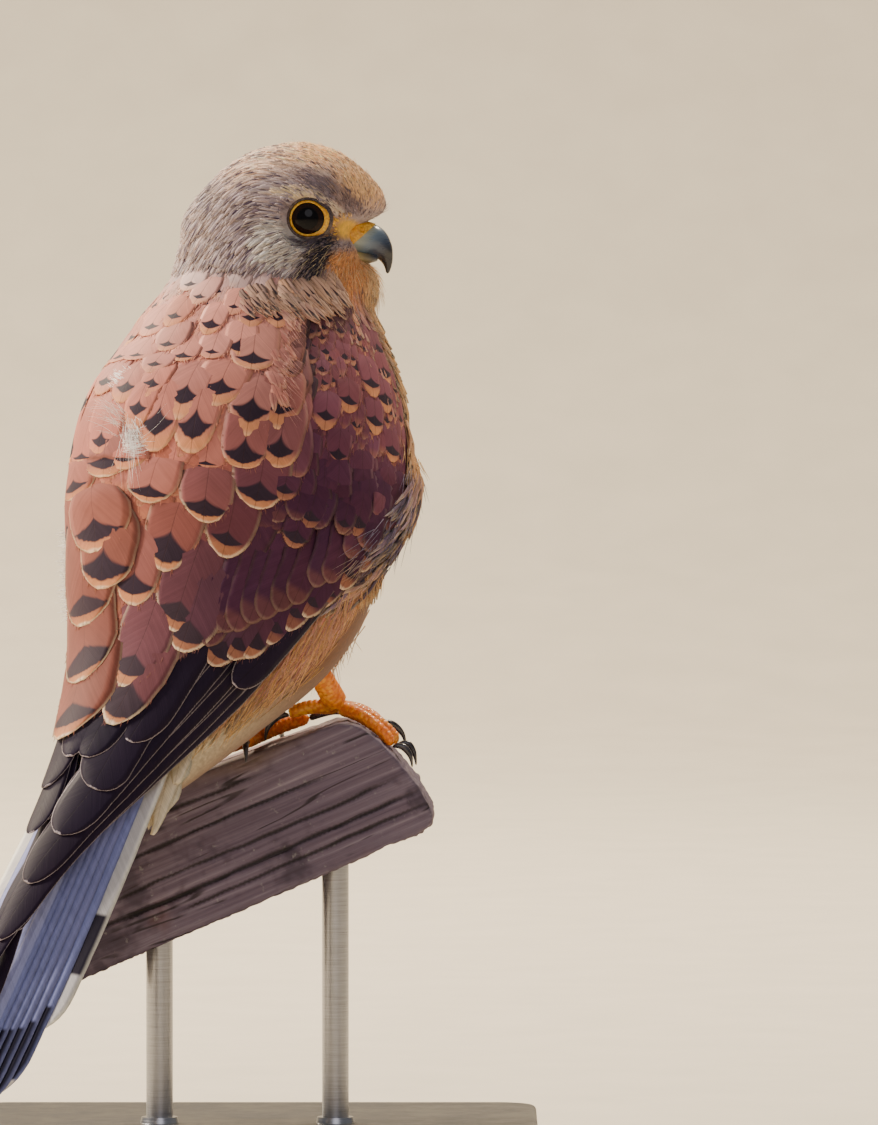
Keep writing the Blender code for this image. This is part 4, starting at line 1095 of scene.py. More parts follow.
def timber_finish():
    """Weathered grey-brown timber: long grain, dark cracks, stains and a bleached worn top."""
    made, net, shader = finish("perch_timber", 0.85)
    place = net.object_place()
    turned = net.node("ShaderNodeMapping", vector_type="TEXTURE")
    net.wire(turned.inputs["Vector"], place)
    turned.inputs["Rotation"].default_value = (0.0, -RAIL_SLOPE, 0.0)
    along, depth, up = net.split(turned.outputs[0])[:3]
    grain_at = net.join(net.math("MULTIPLY", along, 0.025), depth, up)
    wave = net.noise(grain_at, 620.0, 4.0, 0.65)
    broad = net.noise(grain_at, 120.0, 3.0, 0.6)
    split = net.noise(net.join(net.math("MULTIPLY", along, 0.06), depth, up), 130.0, 2.0, 0.5)
    split = net.math("ABSOLUTE", net.math("SUBTRACT", split, 0.5))
    breaks = net.step(net.noise(place, 60.0, 2.0), 0.46, 0.56)
    stain = net.noise(place, 45.0, 4.0, 0.65)
    fleck = net.noise(place, 420.0, 3.0, 0.7)
    colour = net.ramp(wave, (0.3, tone(84, 70, 86)), (0.45, tone(100, 86, 102)),
                      (0.58, tone(114, 101, 116)), (0.75, tone(144, 131, 142)))
    colour = net.mix(net.step(broad, 0.45, 0.7, 0.0, 0.25), colour, tone(76, 62, 78))
    colour = net.mix(net.step(stain, 0.52, 0.64, 0.0, 0.65), colour, tone(50, 39, 54))
    colour = net.mix(net.step(fleck, 0.62, 0.78, 0.0, 0.5), colour, tone(168, 166, 158))
    colour = net.mix(net.step(net.noise(place, 30.0, 3.0), 0.6, 0.75, 0.0, 0.35), colour,
                     tone(138, 92, 74))
    line = net.math("MULTIPLY", net.step(split, 0.016, 0.004), breaks)
    colour = net.mix(net.math("MULTIPLY", line, 0.85), colour, tone(30, 22, 28))
    worn = net.math("MULTIPLY", net.attribute("wear").outputs["Fac"],
                    net.step(fleck, 0.2, 0.7, 0.6, 1.0))
    colour = net.mix(net.math("MULTIPLY", worn, 0.5), colour, tone(132, 110, 96))
    crack = net.attribute("crack").outputs["Fac"]
    colour = net.mix(net.math("MULTIPLY", crack, 0.9), colour, tone(24, 17, 18))
    net.wire(shader["Base Color"], colour)
    net.wire(shader["Roughness"], net.math("MULTIPLY_ADD", wave, 0.25, 0.68))
    bump = net.math("MULTIPLY_ADD", fleck, 0.35, wave)
    bump = net.math("SUBTRACT", bump, line)
    net.wire(shader["Normal"], net.bump(bump, 0.4, 0.4 * MM))
    return made


def paint_finish():
    """Dark satin paint with a fine orange-peel surface."""
    made, net, shader = finish("stand_paint", 0.4)
    place = net.object_place()
    peel = net.noise(place, 1400.0, 2.0)
    dust = net.noise(place, 60.0, 4.0, 0.7)
    net.wire(shader["Base Color"], net.mix(net.step(dust, 0.4, 0.8, 0.0, 0.35),
                                           tone(40, 39, 42), tone(62, 60, 62)))
    net.wire(shader["Roughness"], net.step(dust, 0.3, 0.8, 0.34, 0.52))
    net.wire(shader["Normal"], net.bump(peel, 0.15, 0.05 * MM))
    return made


def steel_finish():
    """Brushed steel with fine rings round each rod."""
    made, net, shader = finish("stand_steel", 0.3, Metallic=1.0)
    x, y, z = net.split(net.object_place())[:3]
    rings = net.noise(net.join(net.math("MULTIPLY", x, 0.02), net.math("MULTIPLY", y, 0.02), z),
                      5200.0, 3.0, 0.7)
    net.wire(shader["Base Color"], net.ramp(rings, (0.3, tone(150, 150, 152)),
                                            (0.7, tone(186, 186, 190))))
    net.wire(shader["Roughness"], net.math("MULTIPLY_ADD", rings, 0.25, 0.2))
    net.wire(shader["Normal"], net.bump(rings, 0.12, 0.03 * MM))
    return made


def stage_finish(name, colour, roughness):
    made, net, shader = finish(name, roughness)
    grain = net.noise(net.object_place(), 35.0, 3.0)
    light = tuple(min(1.0, c * 1.03) for c in colour)
    dark = tuple(c * 0.97 for c in colour)
    net.wire(shader["Base Color"], net.ramp(grain, (0.3, dark), (0.7, light)))
    return made


# Colours of the plumage

HEAD_GREY, NAPE_GREY = tone(176, 158, 160), tone(186, 168, 164)
# The crown colour is partly the crown's own pale buff, partly a painted highlight of light from
# behind
CROWN_AND_HIGHLIGHT, FOREHEAD, BROW = tone(252, 216, 188), tone(255, 200, 138), tone(240, 214, 170)
EYE_BAND, CHEEK, MALAR = tone(96, 80, 94), tone(208, 200, 190), tone(26, 20, 38)
EAR, LORES, THROAT = tone(108, 92, 106), tone(206, 146, 62), tone(226, 154, 86)
CERE_EDGE = tone(255, 196, 40)
CHIN, NECK_BUFF = tone(240, 212, 160), tone(206, 162, 130)
RUFOUS, PINK = tone(186, 114, 100), tone(212, 150, 136)
# Chestnut, plum and mauve are laid on the near wing partly as painted shade, in wing_colours
CHESTNUT_AND_SHADE, PLUM, MAUVE_SHADE = tone(146, 86, 90), tone(68, 37, 70), tone(112, 74, 84)
# The belly and trouser colours are their ochre-brown darkened further as painted shade of the
# underside
BREAST, BELLY_AND_SHADE, FLANK = tone(216, 166, 110), tone(170, 116, 68), tone(136, 104, 90)
TROUSER_AND_SHADE, VENT = tone(124, 76, 38), tone(216, 202, 174)
FLIGHT, SLATE = tone(33, 24, 42), tone(124, 130, 178)
TAIL_EDGE = tone(196, 194, 196)
FLANK_SLATE, FLANK_DUST, FLANK_GOLD = tone(52, 42, 68), tone(122, 106, 134), tone(206, 150, 92)
WHITE_DOWN, GOLD_STRAND = tone(255, 252, 248), tone(232, 184, 106)


def paint(colours, colour, mask):
    return colours + (np.array(colour) - colours) * np.asarray(mask)[..., None]


def blob(x, y, centre, radii, turn=0.0):
    """1 inside a soft ellipse and 0 outside it."""
    c, s = math.cos(turn), math.sin(turn)
    dx, dy = x - centre[0], y - centre[1]
    return ease(1.35, 0.65, np.hypot((dx * c + dy * s) / radii[0], (dy * c - dx * s) / radii[1]))


def on_head(points):
    """Millimetres along the head from the eye, out from its middle, and up."""
    return ((points[..., 0] - EYE[0]) / MM, np.abs(points[..., 1] - EYE[1]) / MM,
            (points[..., 2] - EYE[2]) / MM)


def on_body(points):
    """Angle round from the back in degrees, to the right, and height in millimetres."""
    forward, right, up = in_bird(points)
    path = BODY.path[::-1]
    middle = np.interp(up, path[:, 1], path[:, 0])
    return np.degrees(np.arctan2(right, middle - forward)), up / MM


def skin_colours(points):
    """The plumage's colour at each point of the head and body."""
    a, w, u = on_head(points)
    angle, up = on_body(points)
    head = np.zeros((*a.shape, 3)) + HEAD_GREY
    head = paint(head, NAPE_GREY, ease(-14, -26, a))
    # Partly painted highlight: the top of the head paler and warmer than the grey head
    head = paint(head, CROWN_AND_HIGHLIGHT, ease(8, 14, u) * ease(-24, -8, a))
    head = paint(head, FOREHEAD, np.maximum(ease(5, 12, a) * ease(0, 6, u),
                                            ease(-8, 6, a) * ease(11, 15, u)) * 0.95)
    head = paint(head, EYE_BAND, blob(a, u, (5.0, 8.0), (9.5, 2.3), -0.52) * 0.6)
    head = paint(head, EYE_BAND, blob(a, u, (11.5, 3.2), (3.2, 2.2), -0.7) * 0.7)
    head = paint(head, BROW, blob(a, u, (-1.0, 6.0), (5.0, 1.1), 0.05) * 0.9)
    head = paint(head, BROW, blob(a, u, (7.4, 2.2), (3.4, 1.0), -0.75) * 0.6)
    head = paint(head, EYE_BAND, blob(a, u, (-8.5, 2.6), (5.0, 0.8), 0.15) * 0.8)
    head = paint(head, CHEEK, blob(a, u, (-6.0, -6.0), (6.5, 4.2), -0.75) * 0.9)
    head = paint(head, EAR, blob(a, u, (-14.0, -12.5), (8.0, 4.5), -0.1) * 0.6)
    head = paint(head, NECK_BUFF, ease(-15.0, -21.0, u) * ease(-24, -10, a) * 0.85)
    head = paint(head, THROAT, ease(3.0, 8.0, a + 0.35 * (u + 12)) * ease(-6.5, -9.5, u))
    head = paint(head, LORES, blob(a, u, (8.5, -2.6), (3.6, 3.0)) * 0.8)
    head = paint(head, CERE_EDGE, blob(a, u, (10.6, -3.0), (2.9, 2.4)) * 0.9)
    head = paint(head, CHIN, ease(13.0, 18.0, a) * ease(-9, -13, u) * 0.7)
    head = paint(head, MALAR, blob(a, u, (3.6, -9.0), (6.4, 3.3), 1.05))
    head = paint(head, MALAR, blob(a, u, (0.4, -16.0), (7.5, 3.0), 1.2) * 0.9)
    head = paint(head, MALAR, blob(a, u, (1.5, -4.8), (3.8, 1.6), 0.2) * 0.75)

    body = np.zeros((*a.shape, 3)) + BREAST
    side = np.abs(angle)
    # Painted shade: the lower belly and trousers are darker than their ochre-brown colour
    body = paint(body, BELLY_AND_SHADE, ease(190, 165, up) * ease(100, 140, side))
    body = paint(body, FLANK, ease(130, 112, side) * ease(150, 165, up))
    body = paint(body, TROUSER_AND_SHADE, ease(160, 142, up))
    body = paint(body, VENT, ease(132, 112, up) * ease(150, 60, side))
    body = paint(body, PINK, ease(112, 98, side) * ease(120, 140, up))
    ragged = 1.4 * np.sin(a * 1.3) + 1.1 * np.sin(a * 2.9 + 1)
    return paint(head, body, ease(230.0, 223.0, up + 0.1 * a + ragged))


def varied(colours, spread, rng, warm=0.04):
    """Each feather a little lighter, darker or warmer than the next."""
    light = 1 + rng.normal(0, spread, (len(colours), 1))
    hue = 1 + rng.normal(0, warm, (len(colours), 1)) * np.array((1.0, 0.0, -1.0))
    return np.clip(colours * light * hue, 0.004, 0.98)


def tinted(colours, mark_paleness=0.0):
    paleness = np.broadcast_to(np.asarray(mark_paleness, float), (len(colours),))
    return np.concatenate([colours, paleness[:, None]], axis=1)


# Skin

SKIN_VOXEL = 0.9 * MM
COAT_DEPTH = 0.9 * MM


def body_skin():
    """Head, neck, body and thighs as one skin, with dished eye sockets."""
    forms = [tube_form(BODY, 0.05, 0.08), head_form(), ellipsoid(from_eye(*np.array(THROAT_CENTRE)),
             THROAT_RADII), thigh_form(1, RIGHT_HEEL), thigh_form(-1, LEFT_HEEL), vent_form()]
    piece = merge("body_skin", forms, SKIN_VOXEL, 9, COAT_DEPTH)
    points = points_of(piece.data)
    for side in (1, -1):
        centre = eye_centre(side) + (0, side * (EYE_DISH[0] - 1.4 * MM), 0)
        away = points - centre
        far = np.linalg.norm(away, axis=1)
        near = far < EYE_DISH[1]
        aim = away.copy()
        aim[:, 1] = -side * np.sqrt(np.maximum(EYE_DISH[1] ** 2 - away[:, 0] ** 2
                                               - away[:, 2] ** 2, 0))
        points[near] = (centre + aim)[near]
    x, up = points[:, 0] / MM, points[:, 2] / MM
    points[:, 0] -= 3.6 * MM * ease(24, 42, x) * ease(134, 150, up) * ease(196, 178, up)
    set_points(piece.data, points)
    tint = piece.data.attributes.new("tint", "FLOAT_COLOR", "POINT")
    colours = np.concatenate([skin_colours(points) * 0.8, np.ones((len(points), 1))], axis=1)
    tint.data.foreach_set("color", colours.astype(np.float32).ravel())
    layer = piece.data.uv_layers.new(name="OFBake")
    corners = np.empty(len(piece.data.loops), np.int32)
    piece.data.loops.foreach_get("vertex_index", corners)
    places = unwrap(points)[corners]
    starts = np.array([p.loop_start for p in piece.data.polygons])
    totals = np.diff(np.append(starts, len(corners)))
    high = np.repeat(np.maximum.reduceat(places[:, 0], starts), totals)
    places[:, 0] += (high - places[:, 0] > 0.5)
    places[:, 0] = places[:, 0] / 1.05
    layer.uv.foreach_set("vector", places.astype(np.float32).ravel())
    return piece


BILL_ROOT = np.array((12.0, 0.0, -5.0))


def lie_of_coat(points, normals):
    """Back from the bill over the head, then down the body and along the legs."""
    a, w, u = on_head(points)
    forward, right, up = in_bird(points)
    head = points - (np.array(EYE) + BILL_ROOT * MM)
    head = head / (np.linalg.norm(head, axis=1)[:, None] + 1e-9)
    head[:, 2] -= ease(-6, -20, a) * 0.9 + ease(-8, -16, u) * 0.5
    back = np.array((-math.cos(BODY_TURN), -math.sin(BODY_TURN), 0.0))
    slope = ease(185 * MM, 130 * MM, up)[:, None] * 0.75
    down = np.array((0.0, 0.0, -1.0)) + back * (0.12 + slope)
    side = np.sign(right)[:, None] * np.array((math.sin(BODY_TURN), -math.cos(BODY_TURN), 0.0))
    down = down + side * 0.12
    down /= np.linalg.norm(down, axis=1)[:, None]
    share = ease(230 * MM, 219 * MM, up)[:, None]
    return head * (1 - share) + down * share


def bare_face(points):
    """True where the eye, its ring, the cere or the bill shows instead of feathers."""
    a, w, u = on_head(points)
    ring = (np.hypot(a - 0.3, u * 1.08) < 5.0) & (w > 7)
    front = (np.hypot(a - 5.4, (u + 0.2) * 1.2) < 1.5) & (w > 6)
    bill = (a > 11.4) & (u < -1.2) & (u > -11.0) & (w < 5.0)
    cere = (a > 9.0) & (np.abs(u + 3.4) < 2.6)
    return ring | front | bill | cere


def head_feathers(skin, finish_used):
    rng = np.random.default_rng(SEED + 1)

    def gap(points):
        a, w, u = on_head(points)
        face = ease(-12, 6, a) * ease(225, 232, points[:, 2] / MM)
        return (0.86 - 0.26 * face) * MM

    def wanted(points):
        return (points[:, 2] > 219 * MM) & ~bare_face(points)

    roots = skin.roots(gap, rng, wanted)
    a, w, u = on_head(roots)
    face = ease(-14, 6, a) * ease(-22, -12, u)
    near_bill = ease(7, 15, a)
    size = 1 - 0.55 * face - 0.12 * near_bill
    length = 7.4 * size * rng.uniform(0.75, 1.25, len(roots)) * MM
    way = lie_of_coat(roots, roots)
    clear = np.ones(len(roots), bool)
    for share in (0.4, 0.8, 1.0):
        clear &= ~bare_face(roots + way * (length * share)[:, None])
    roots, a, w, u, face, size, length = (v[clear] for v in (roots, a, w, u, face, size, length))
    half = 0.8 * size * rng.uniform(0.7, 1.3, len(roots)) * MM
    rise = 0.6 * MM * size * rng.uniform(0.3, 1.6, len(roots))
    colours = varied(skin_colours(roots), 0.15, rng, 0.03)
    streak = rng.random(len(roots)) < np.interp(u, (-24, -16), (0.6, 0.3))
    quiet = blob(a, u, (9, -14), (9, 6)) * (a > 2)
    marks = np.stack([np.where(streak, 0.4, 0.0) * (1 - 0.7 * quiet), np.full(len(roots), 2.4),
                      np.full(len(roots), 0.5), 0.3 - 0.2 * face], axis=1)
    tint = tinted(colours, rng.uniform(0, 0.7, len(roots)))
    front = a > -9
    for name, part, node in (("face_feathers", front, "head"), ("nape_feathers", ~front, "neck")):
        coat = Coat()
        skin_feathers(coat, skin, roots[part], lie_of_coat, length[part], half[part], rise[part],
                      tint[part], marks[part], across=3, stops=5, root=0.6, widest=0.3,
                      blunt=0.15, ragged=0.15, rng=rng)
        dress(coat.piece(name), finish_used, "head_plumage", "head", node)


def under_wing(points, margin):
    """True where the folded wing covers the body."""
    angle, up = on_body(points)
    s = np.interp(-up, -ROOF.path[:, 1] / MM, ROOF.along / MM)
    lead = np.interp(s, *np.array(WING_LEAD).T)
    return (np.abs(angle) < lead - margin) & (up > 132) & (up < 222)


# The lower edge of the trousers and belly as it shows from the camera: right and up
HEM = ((-60, 70), (-20, 104), (-13, 110.5), (-6.5, 111.5), (-2.6, 115), (5.7, 122), (11.7, 125),
       (18.7, 133), (24, 140), (28, 145), (36, 150), (60, 154))


def above_hem(points):
    x, up = points[..., 0] / MM, points[..., 2] / MM
    return (up > np.interp(x, *np.array(HEM, float).T)) | (points[..., 1] > 12 * MM)


def body_feathers(skin, finish_used):
    """Breast, belly, flank and trouser feathers, softer and longer further down."""
    rng = np.random.default_rng(SEED + 2)

    def gap(points):
        return np.interp(points[:, 2] / MM, (100, 150, 215), (1.35, 1.6, 1.6)) * MM

    def wanted(points):
        return (points[:, 2] < 224 * MM) & ~under_wing(points, 12)

    roots = skin.roots(gap, rng, wanted)
    angle, up = on_body(roots)
    side = np.abs(angle)
    count = len(roots)
    length = np.interp(up, (100, 140, 160, 200, 222), (13, 19, 17, 12, 8)) * MM
    length = length * rng.uniform(0.75, 1.25, count)
    tips = roots + lie_of_coat(roots, roots) * length[:, None] + (0, 0, 4 * MM)
    length = np.where(above_hem(tips), length, length * 0.55)
    short_tips = roots + lie_of_coat(roots, roots) * length[:, None]
    keep = above_hem(short_tips + (0, 0, 2 * MM))
    roots, angle, up, side, length = (v[keep] for v in (roots, angle, up, side, length))
    count = len(roots)
    half = np.interp(up, (100, 150, 165, 222), (0.9, 1.1, 2.0, 1.5)) * MM
    half = half * rng.uniform(0.7, 1.3, count)
    rise = rng.uniform(0.4, 1.8, count) * MM
    colours = varied(skin_colours(roots), 0.17, rng, 0.04)
    drops = (side > 112) & (up > 146) & (rng.random(count) < 0.2)
    marks = np.zeros((count, 4))
    marks[:, 3] = 0.4
    marks[drops] = (0.5, 1.6, 0.5, 0.5)
    for name, part in (("breast_feathers", up > 165), ("belly_feathers", up <= 165)):
        coat = Coat()
        skin_feathers(coat, skin, roots[part], lie_of_coat, length[part], half[part], rise[part],
                      tinted(colours[part]), marks[part], across=3, stops=7, root=0.5,
                      widest=0.35, blunt=0.1, ragged=0.2, rng=rng)
        dress(coat.piece(name), finish_used, "body_plumage", "torso")


# Wings

def rows_from_marks(places, length, half, turn=0.0):
    """Feather rows from where their marks show, as along and angle round from the back."""
    places = np.array(places, float)
    s, angle = places[:, 0], np.radians(places[:, 1])
    length, half = np.broadcast_to(length, s.shape), np.broadcast_to(half, s.shape)
    turn = np.broadcast_to(np.radians(turn), s.shape)
    reach = ROOF.radius(s * MM, angle) / MM
    run, swing = np.cos(turn), -np.sin(turn) / reach
    share = mark_share(length * MM)
    before, after = share * length, (1 - share) * length
    return np.stack([s - before * run, np.degrees(angle - before * swing), s + after * run,
                     np.degrees(angle + after * swing), half], axis=1)


# Marks of the back and shoulder as the photograph shows them: along, angle round from the back,
# and the mark's half width in millimetres. Angles below 0 are on the left
MANTLE = ((10, -8, 1.4), (15, 4, 1.5), (22, -4, 1.7), (25, -16, 1.6), (24, 17, 2.2), (21, 34, 2.0),
          (18, 25, 1.2), (31, 1, 1.9), (36, -12, 1.7), (36, 11, 2.4), (41, 2, 1.7), (30, 32, 3.3),
          (48, -6, 2.3), (47, 5, 1.9), (52, 3, 2.0), (20, 46, 2.2), (36, -26, 1.8), (46, -22, 2.0),
          (28, -30, 1.6), (33, 22, 1.6), (57, -12, 2.2))
SCAPULARS = ((34, 38, 3.6), (49, 19, 3.2), (46, 30, 3.6), (50, 42, 4.2), (54, 12, 3.3),
             (54, 25, 3.6), (58, 42, 4.2), (48, 51, 3.2), (56, 53, 3.2), (62, -24, 3.2),
             (66, 1, 3.4))
LONG_SCAPULARS = ((68, -8, 4.4), (76, -29, 4.0), (83, 32, 6.2), (100, 20, 6.5), (72, 48, 4.8),
                  (92, 41, 3.6), (97, -13, 5.4), (91, -25, 4.4), (80, 12, 5.2), (107, -8, 6.0),
                  (111, 8, 4.6))
COVERTS = ((69, 56, 2.2), (83, 63, 3.4), (75, 66, 2.4), (55, 74, 1.9), (58, 63, 2.0),
           (52, 56, 1.8), (47, 68, 2.0), (41, 77, 2.0), (34, 90, 2.0), (30, 102, 2.0),
           (37, 98, 2.2), (24, 103, 1.8), (44, 90, 2.0), (50, 100, 2.0), (60, 84, 2.2),
           (63, 96, 2.2), (66, 74, 2.2), (43, 58, 1.8), (72, 84, 2.4))
GREAT_COVERTS = ((121, 52, 3.6), (114, 64, 3.2), (108, 70, 2.0), (102, 75, 1.7), (97, 79, 1.7),
                 (92, 83, 1.9), (85, 88, 1.8), (78, 93, 1.8), (117, 58, 2.6))
TERTIALS = ((116, 29, 4.2), (121, 35, 4.8), (117, -22, 4.4), (134, -19, 5.6), (145, 17, 6.6),
            (149, -20, 4.6), (135, 14, 4.4))
# Each set: places, feather length and half width, root lift, how tall, round and pale the mark
# is, how pale the rim is, and how far the feather turns towards the back
SETS = (
    ("tertial", TERTIALS, 48.0, 8.2, -1.2, 0.72, 0.22, 0.12, 1.0, 5.0),
    ("great_covert", GREAT_COVERTS, 24.0, 4.9, -1.6, 0.75, 0.2, 0.0, 0.6, 4.0),
    ("covert", COVERTS, 17.0, 4.4, -0.6, 0.75, 0.05, 0.0, 0.05, 2.0),
    ("long_scapular", LONG_SCAPULARS, 36.0, 7.6, -0.8, 0.72, 0.05, 0.0, 0.7, 2.0),
    ("scapular", SCAPULARS, 23.0, 6.4, -0.5, 0.72, 0.0, 0.0, 0.25, 0.0),
    ("mantle", MANTLE, 15.0, 4.6, -0.4, 0.72, 0.0, 0.0, 0.05, 0.0),
)
VIEW_ANGLE = 40.0  # the angle round the back that faces the camera
# The near shoulder lies lower than the feathers of the back, from this angle at each distance
NOTCH = ((10.0, 90.0), (13.0, 84.0), (18.0, 57.0), (27.0, 52.0), (51.0, 55.0), (62.0, 60.0))


def notch_angle(s):
    return np.interp(s, *np.array(NOTCH).T)


def shoulder_drop(s, angle, side):
    """How far the near shoulder's feathers lie under the others, in millimetres."""
    if side < 0:
        return 0 * s
    edge = notch_angle(s)
    return 1.3 * ease(edge - 1, edge + 4, angle) * ease(76, 56, s)


# Where painted shade turns the back from rufous to plum, as up and right from the camera
PAINTED_SHADE_LINE = ((128.0, -42.0), (140.0, -33.0), (166.0, -17.0), (184.0, -4.0), (210.0, 12.0))


def wing_colours(s, angle, side):
    """Pinkish rufous back and chestnut shoulder, with painted shade in chestnut, plum, mauve and
    near black over the near wing.
    """
    colours = np.zeros((len(s), 3)) + RUFOUS
    colours = paint(colours, PINK, ease(66, 26, s) * 0.6)
    place = ROOF.point(s * MM, side * np.radians(angle)) / MM
    colours = paint(colours, NAPE_GREY, ease(20, 8, s) * 0.8)
    colours = colours * np.interp(s, (55, 110), (1.0, 0.6))[:, None]
    if side < 0:
        return colours * np.interp(s, (40, 110), (0.95, 0.75))[:, None]
    edge = notch_angle(s)
    # The shoulder past the notch: its own chestnut, darkened further as painted shade of the lowered
    # shoulder
    colours = paint(colours, CHESTNUT_AND_SHADE, ease(edge - 2, edge + 4, angle) * ease(80, 50, s))
    # Painted shade: plum past a line fixed in the camera's view, on the side the lamps leave darker;
    # plum is also part of the wing's own colour
    past_shade_line = place[..., 0] - np.interp(place[..., 2], *np.array(PAINTED_SHADE_LINE).T)
    colours = paint(colours, PLUM, ease(-5, 5, past_shade_line) * np.interp(s, (30, 60), (0.25, 0.5)))
    colours = paint(colours, PLUM, ease(6, 22, past_shade_line) * ease(38, 74, s) * 0.85)
    # Painted shade: a darker mauve over the lower back, right of its middle
    colours = paint(colours, MAUVE_SHADE, ease(104, 122, s) * ease(-2, 10, angle) * 0.6)
    # Painted shade: darker still further past that line and down the wing
    colours = colours * (1 - 0.3 * ease(4, 20, past_shade_line) * ease(50, 80, s))[:, None]
    # Painted shadow: near black in the recess under the neck feathers and in a line along the notch
    gap = np.hypot((angle - edge - 3) / 7, np.maximum(0, s - 40) / 12)
    colours = paint(colours, NEAR_BLACK, ease(28, 17, s) * ease(edge - 2, edge + 4, angle) * 0.7)
    return paint(colours, NEAR_BLACK, ease(1.3, 0.2, gap) * (s < 60) * 0.85)


def marked_feathers(coat, rng, side):
    """The marked feathers of one side, set by set from the tail end up, over plain fillers."""
    for label, places, length, half, root_lift, tall, round_mark, pale, rim, turn in SETS:
        places = np.array(places, float)
        mine = places[places[:, 1] * side >= -3.0]
        if side < 0:
            swapped = places[(places[:, 1] > 34)] * (1, -1, 1)
            mine = np.concatenate([mine[mine[:, 1] < 0], swapped])
        mine = mine[np.argsort(-mine[:, 0])]
        count = len(mine)
        if not count:
            continue
        angle = np.abs(mine[:, 1])
        turned = np.maximum(np.cos(np.radians(mine[:, 1] - VIEW_ANGLE)), 0.5)
        wide = half * rng.uniform(0.94, 1.06, count) * np.where(
            np.abs(mine[:, 1]) < 30, np.clip(0.85 / turned**1.5, 1.0, 1.9), 1.0)
        wide = wide * np.interp(mine[:, 0], (10, 36), (0.72, 1.0))
        rows = rows_from_marks(np.stack([mine[:, 0], angle], axis=1),
                               length * rng.uniform(0.92, 1.08, count), wide,
                               turn + rng.normal(0, 3, count))
        rows[:, 0] = np.maximum(rows[:, 0], 1.0)
        colours = varied(wing_colours(mine[:, 0], angle, side), 0.09, rng, 0.04)
        marks = np.stack([np.minimum(mine[:, 2] / wide / turned * 1.25, 1.1),
                          mine[:, 2] / wide * tall,
                          round_mark + rng.uniform(0, 0.08, count), np.full(count, rim)], axis=1)
        tip = (0.95 - 0.0035 * mine[:, 0] - 0.3 * ease(36, 18, mine[:, 0])
               - shoulder_drop(mine[:, 0], angle, side)
               + rng.uniform(-0.04, 0.04, count) - 0.8 * (label == "great_covert")
               + (2.0 - 0.012 * mine[:, 0]) * (np.abs(mine[:, 1] + 13.5) < 9.5)
               * (mine[:, 0] > 90))
        lift = np.stack([root_lift - shoulder_drop(mine[:, 0], angle, side), tip], axis=1)
        roof_feathers(coat, side, rows, lift, tinted(colours, pale), marks, camber=0.2,
                      tilt=0.06, fray=16, across=9, stops=14, root=0.45, widest=0.5, blunt=0.6,
                      ragged=0.03, rng=rng)


def filler_feathers(coat, rng, side):
    """Plainer feathers between the marked ones, in uneven rows that lengthen downwards."""
    s = 126.0
    while s > 9:
        wide = np.interp(s, (0, 30, 60, 120), (2.4, 4.4, 6.0, 7.4))
        reach = ROOF.radius(s * MM, 0.7) / MM
        high = min(notch_angle(s), np.interp(s, (6, 11, 15, 20, 92, 104, 116, 128),
                                             (24, 34, 46, 57, 57, 48, 40, 28)))
        angle = np.arange(-2, high, np.degrees(wide / reach))
        angle = angle + rng.normal(0, 0.3, len(angle)) * np.degrees(wide / reach)
        place = s + rng.normal(0, 1.6, len(angle))
        lay_fillers(coat, rng, side, place, angle, np.interp(place, (0, 60, 120), (13, 24, 34)),
                    np.interp(place, (0, 30, 60, 120), (2.6, 4.6, 6.2, 7.6)), 0.3,
                    0.15 * (s < 70), 0.12 * (s > 40))
        s -= np.interp(s, (0, 30, 60, 120), (2.6, 4.4, 6.0, 8.0))
    s = 74.0
    while s > 12:
        wide = np.interp(s, (12, 40, 74), (2.3, 3.4, 4.6))
        reach = ROOF.radius(s * MM, 1.3) / MM
        high = np.interp(s, *np.array(WING_LEAD).T) - 2
        angle = np.arange(notch_angle(s), high, np.degrees(wide / reach))
        angle = angle + rng.normal(0, 0.3, len(angle)) * np.degrees(wide / reach)
        place = s + rng.normal(0, 0.9, len(angle))
        lay_fillers(coat, rng, side, place, angle, np.interp(place, (12, 40, 74), (8, 12, 17)),
                    np.interp(place, (12, 40, 74), (2.4, 3.4, 4.6)), 0.6,
                    np.interp(s, (12, 50, 74), (0.7, 0.5, 0.1)), 0.1)
        s -= np.interp(s, (12, 40, 74), (2.4, 3.4, 5.0))


# Where the great coverts end: angle round and distance along
COVERT_ENDS = ((44, 130), (52, 124), (58, 120), (64, 115), (70, 110), (75, 104), (79, 99),
               (83, 94), (88, 87), (94, 78))


def great_coverts(coat, rng, side):
    """Long feathers that run side by side down the wing, each over the next one inwards."""
    count = 12
    angle = np.linspace(45, 94, count)
    stop = np.interp(angle, *np.array(COVERT_ENDS, float).T) - 8.5 + rng.normal(0, 0.7, count)
    rows = np.stack([stop - np.linspace(40, 12, count), angle - 1.5, stop, angle,
                     np.linspace(4.8, 3.6, count)], axis=1)
    colours = varied(wing_colours(stop - 20, angle, side), 0.06, rng, 0.03)
    marks = np.tile((0.0, 0.0, 0.5, 0.1), (count, 1))
    lift = np.stack([np.linspace(-0.4, -1.8, count), 0.4 + 0 * angle], axis=1)
    roof_feathers(coat, side, rows, lift, tinted(colours), marks, camber=0.3, tilt=-0.3,
                  across=7, stops=18, root=0.6, widest=0.3, blunt=0.75, ragged=0.03, rng=rng)


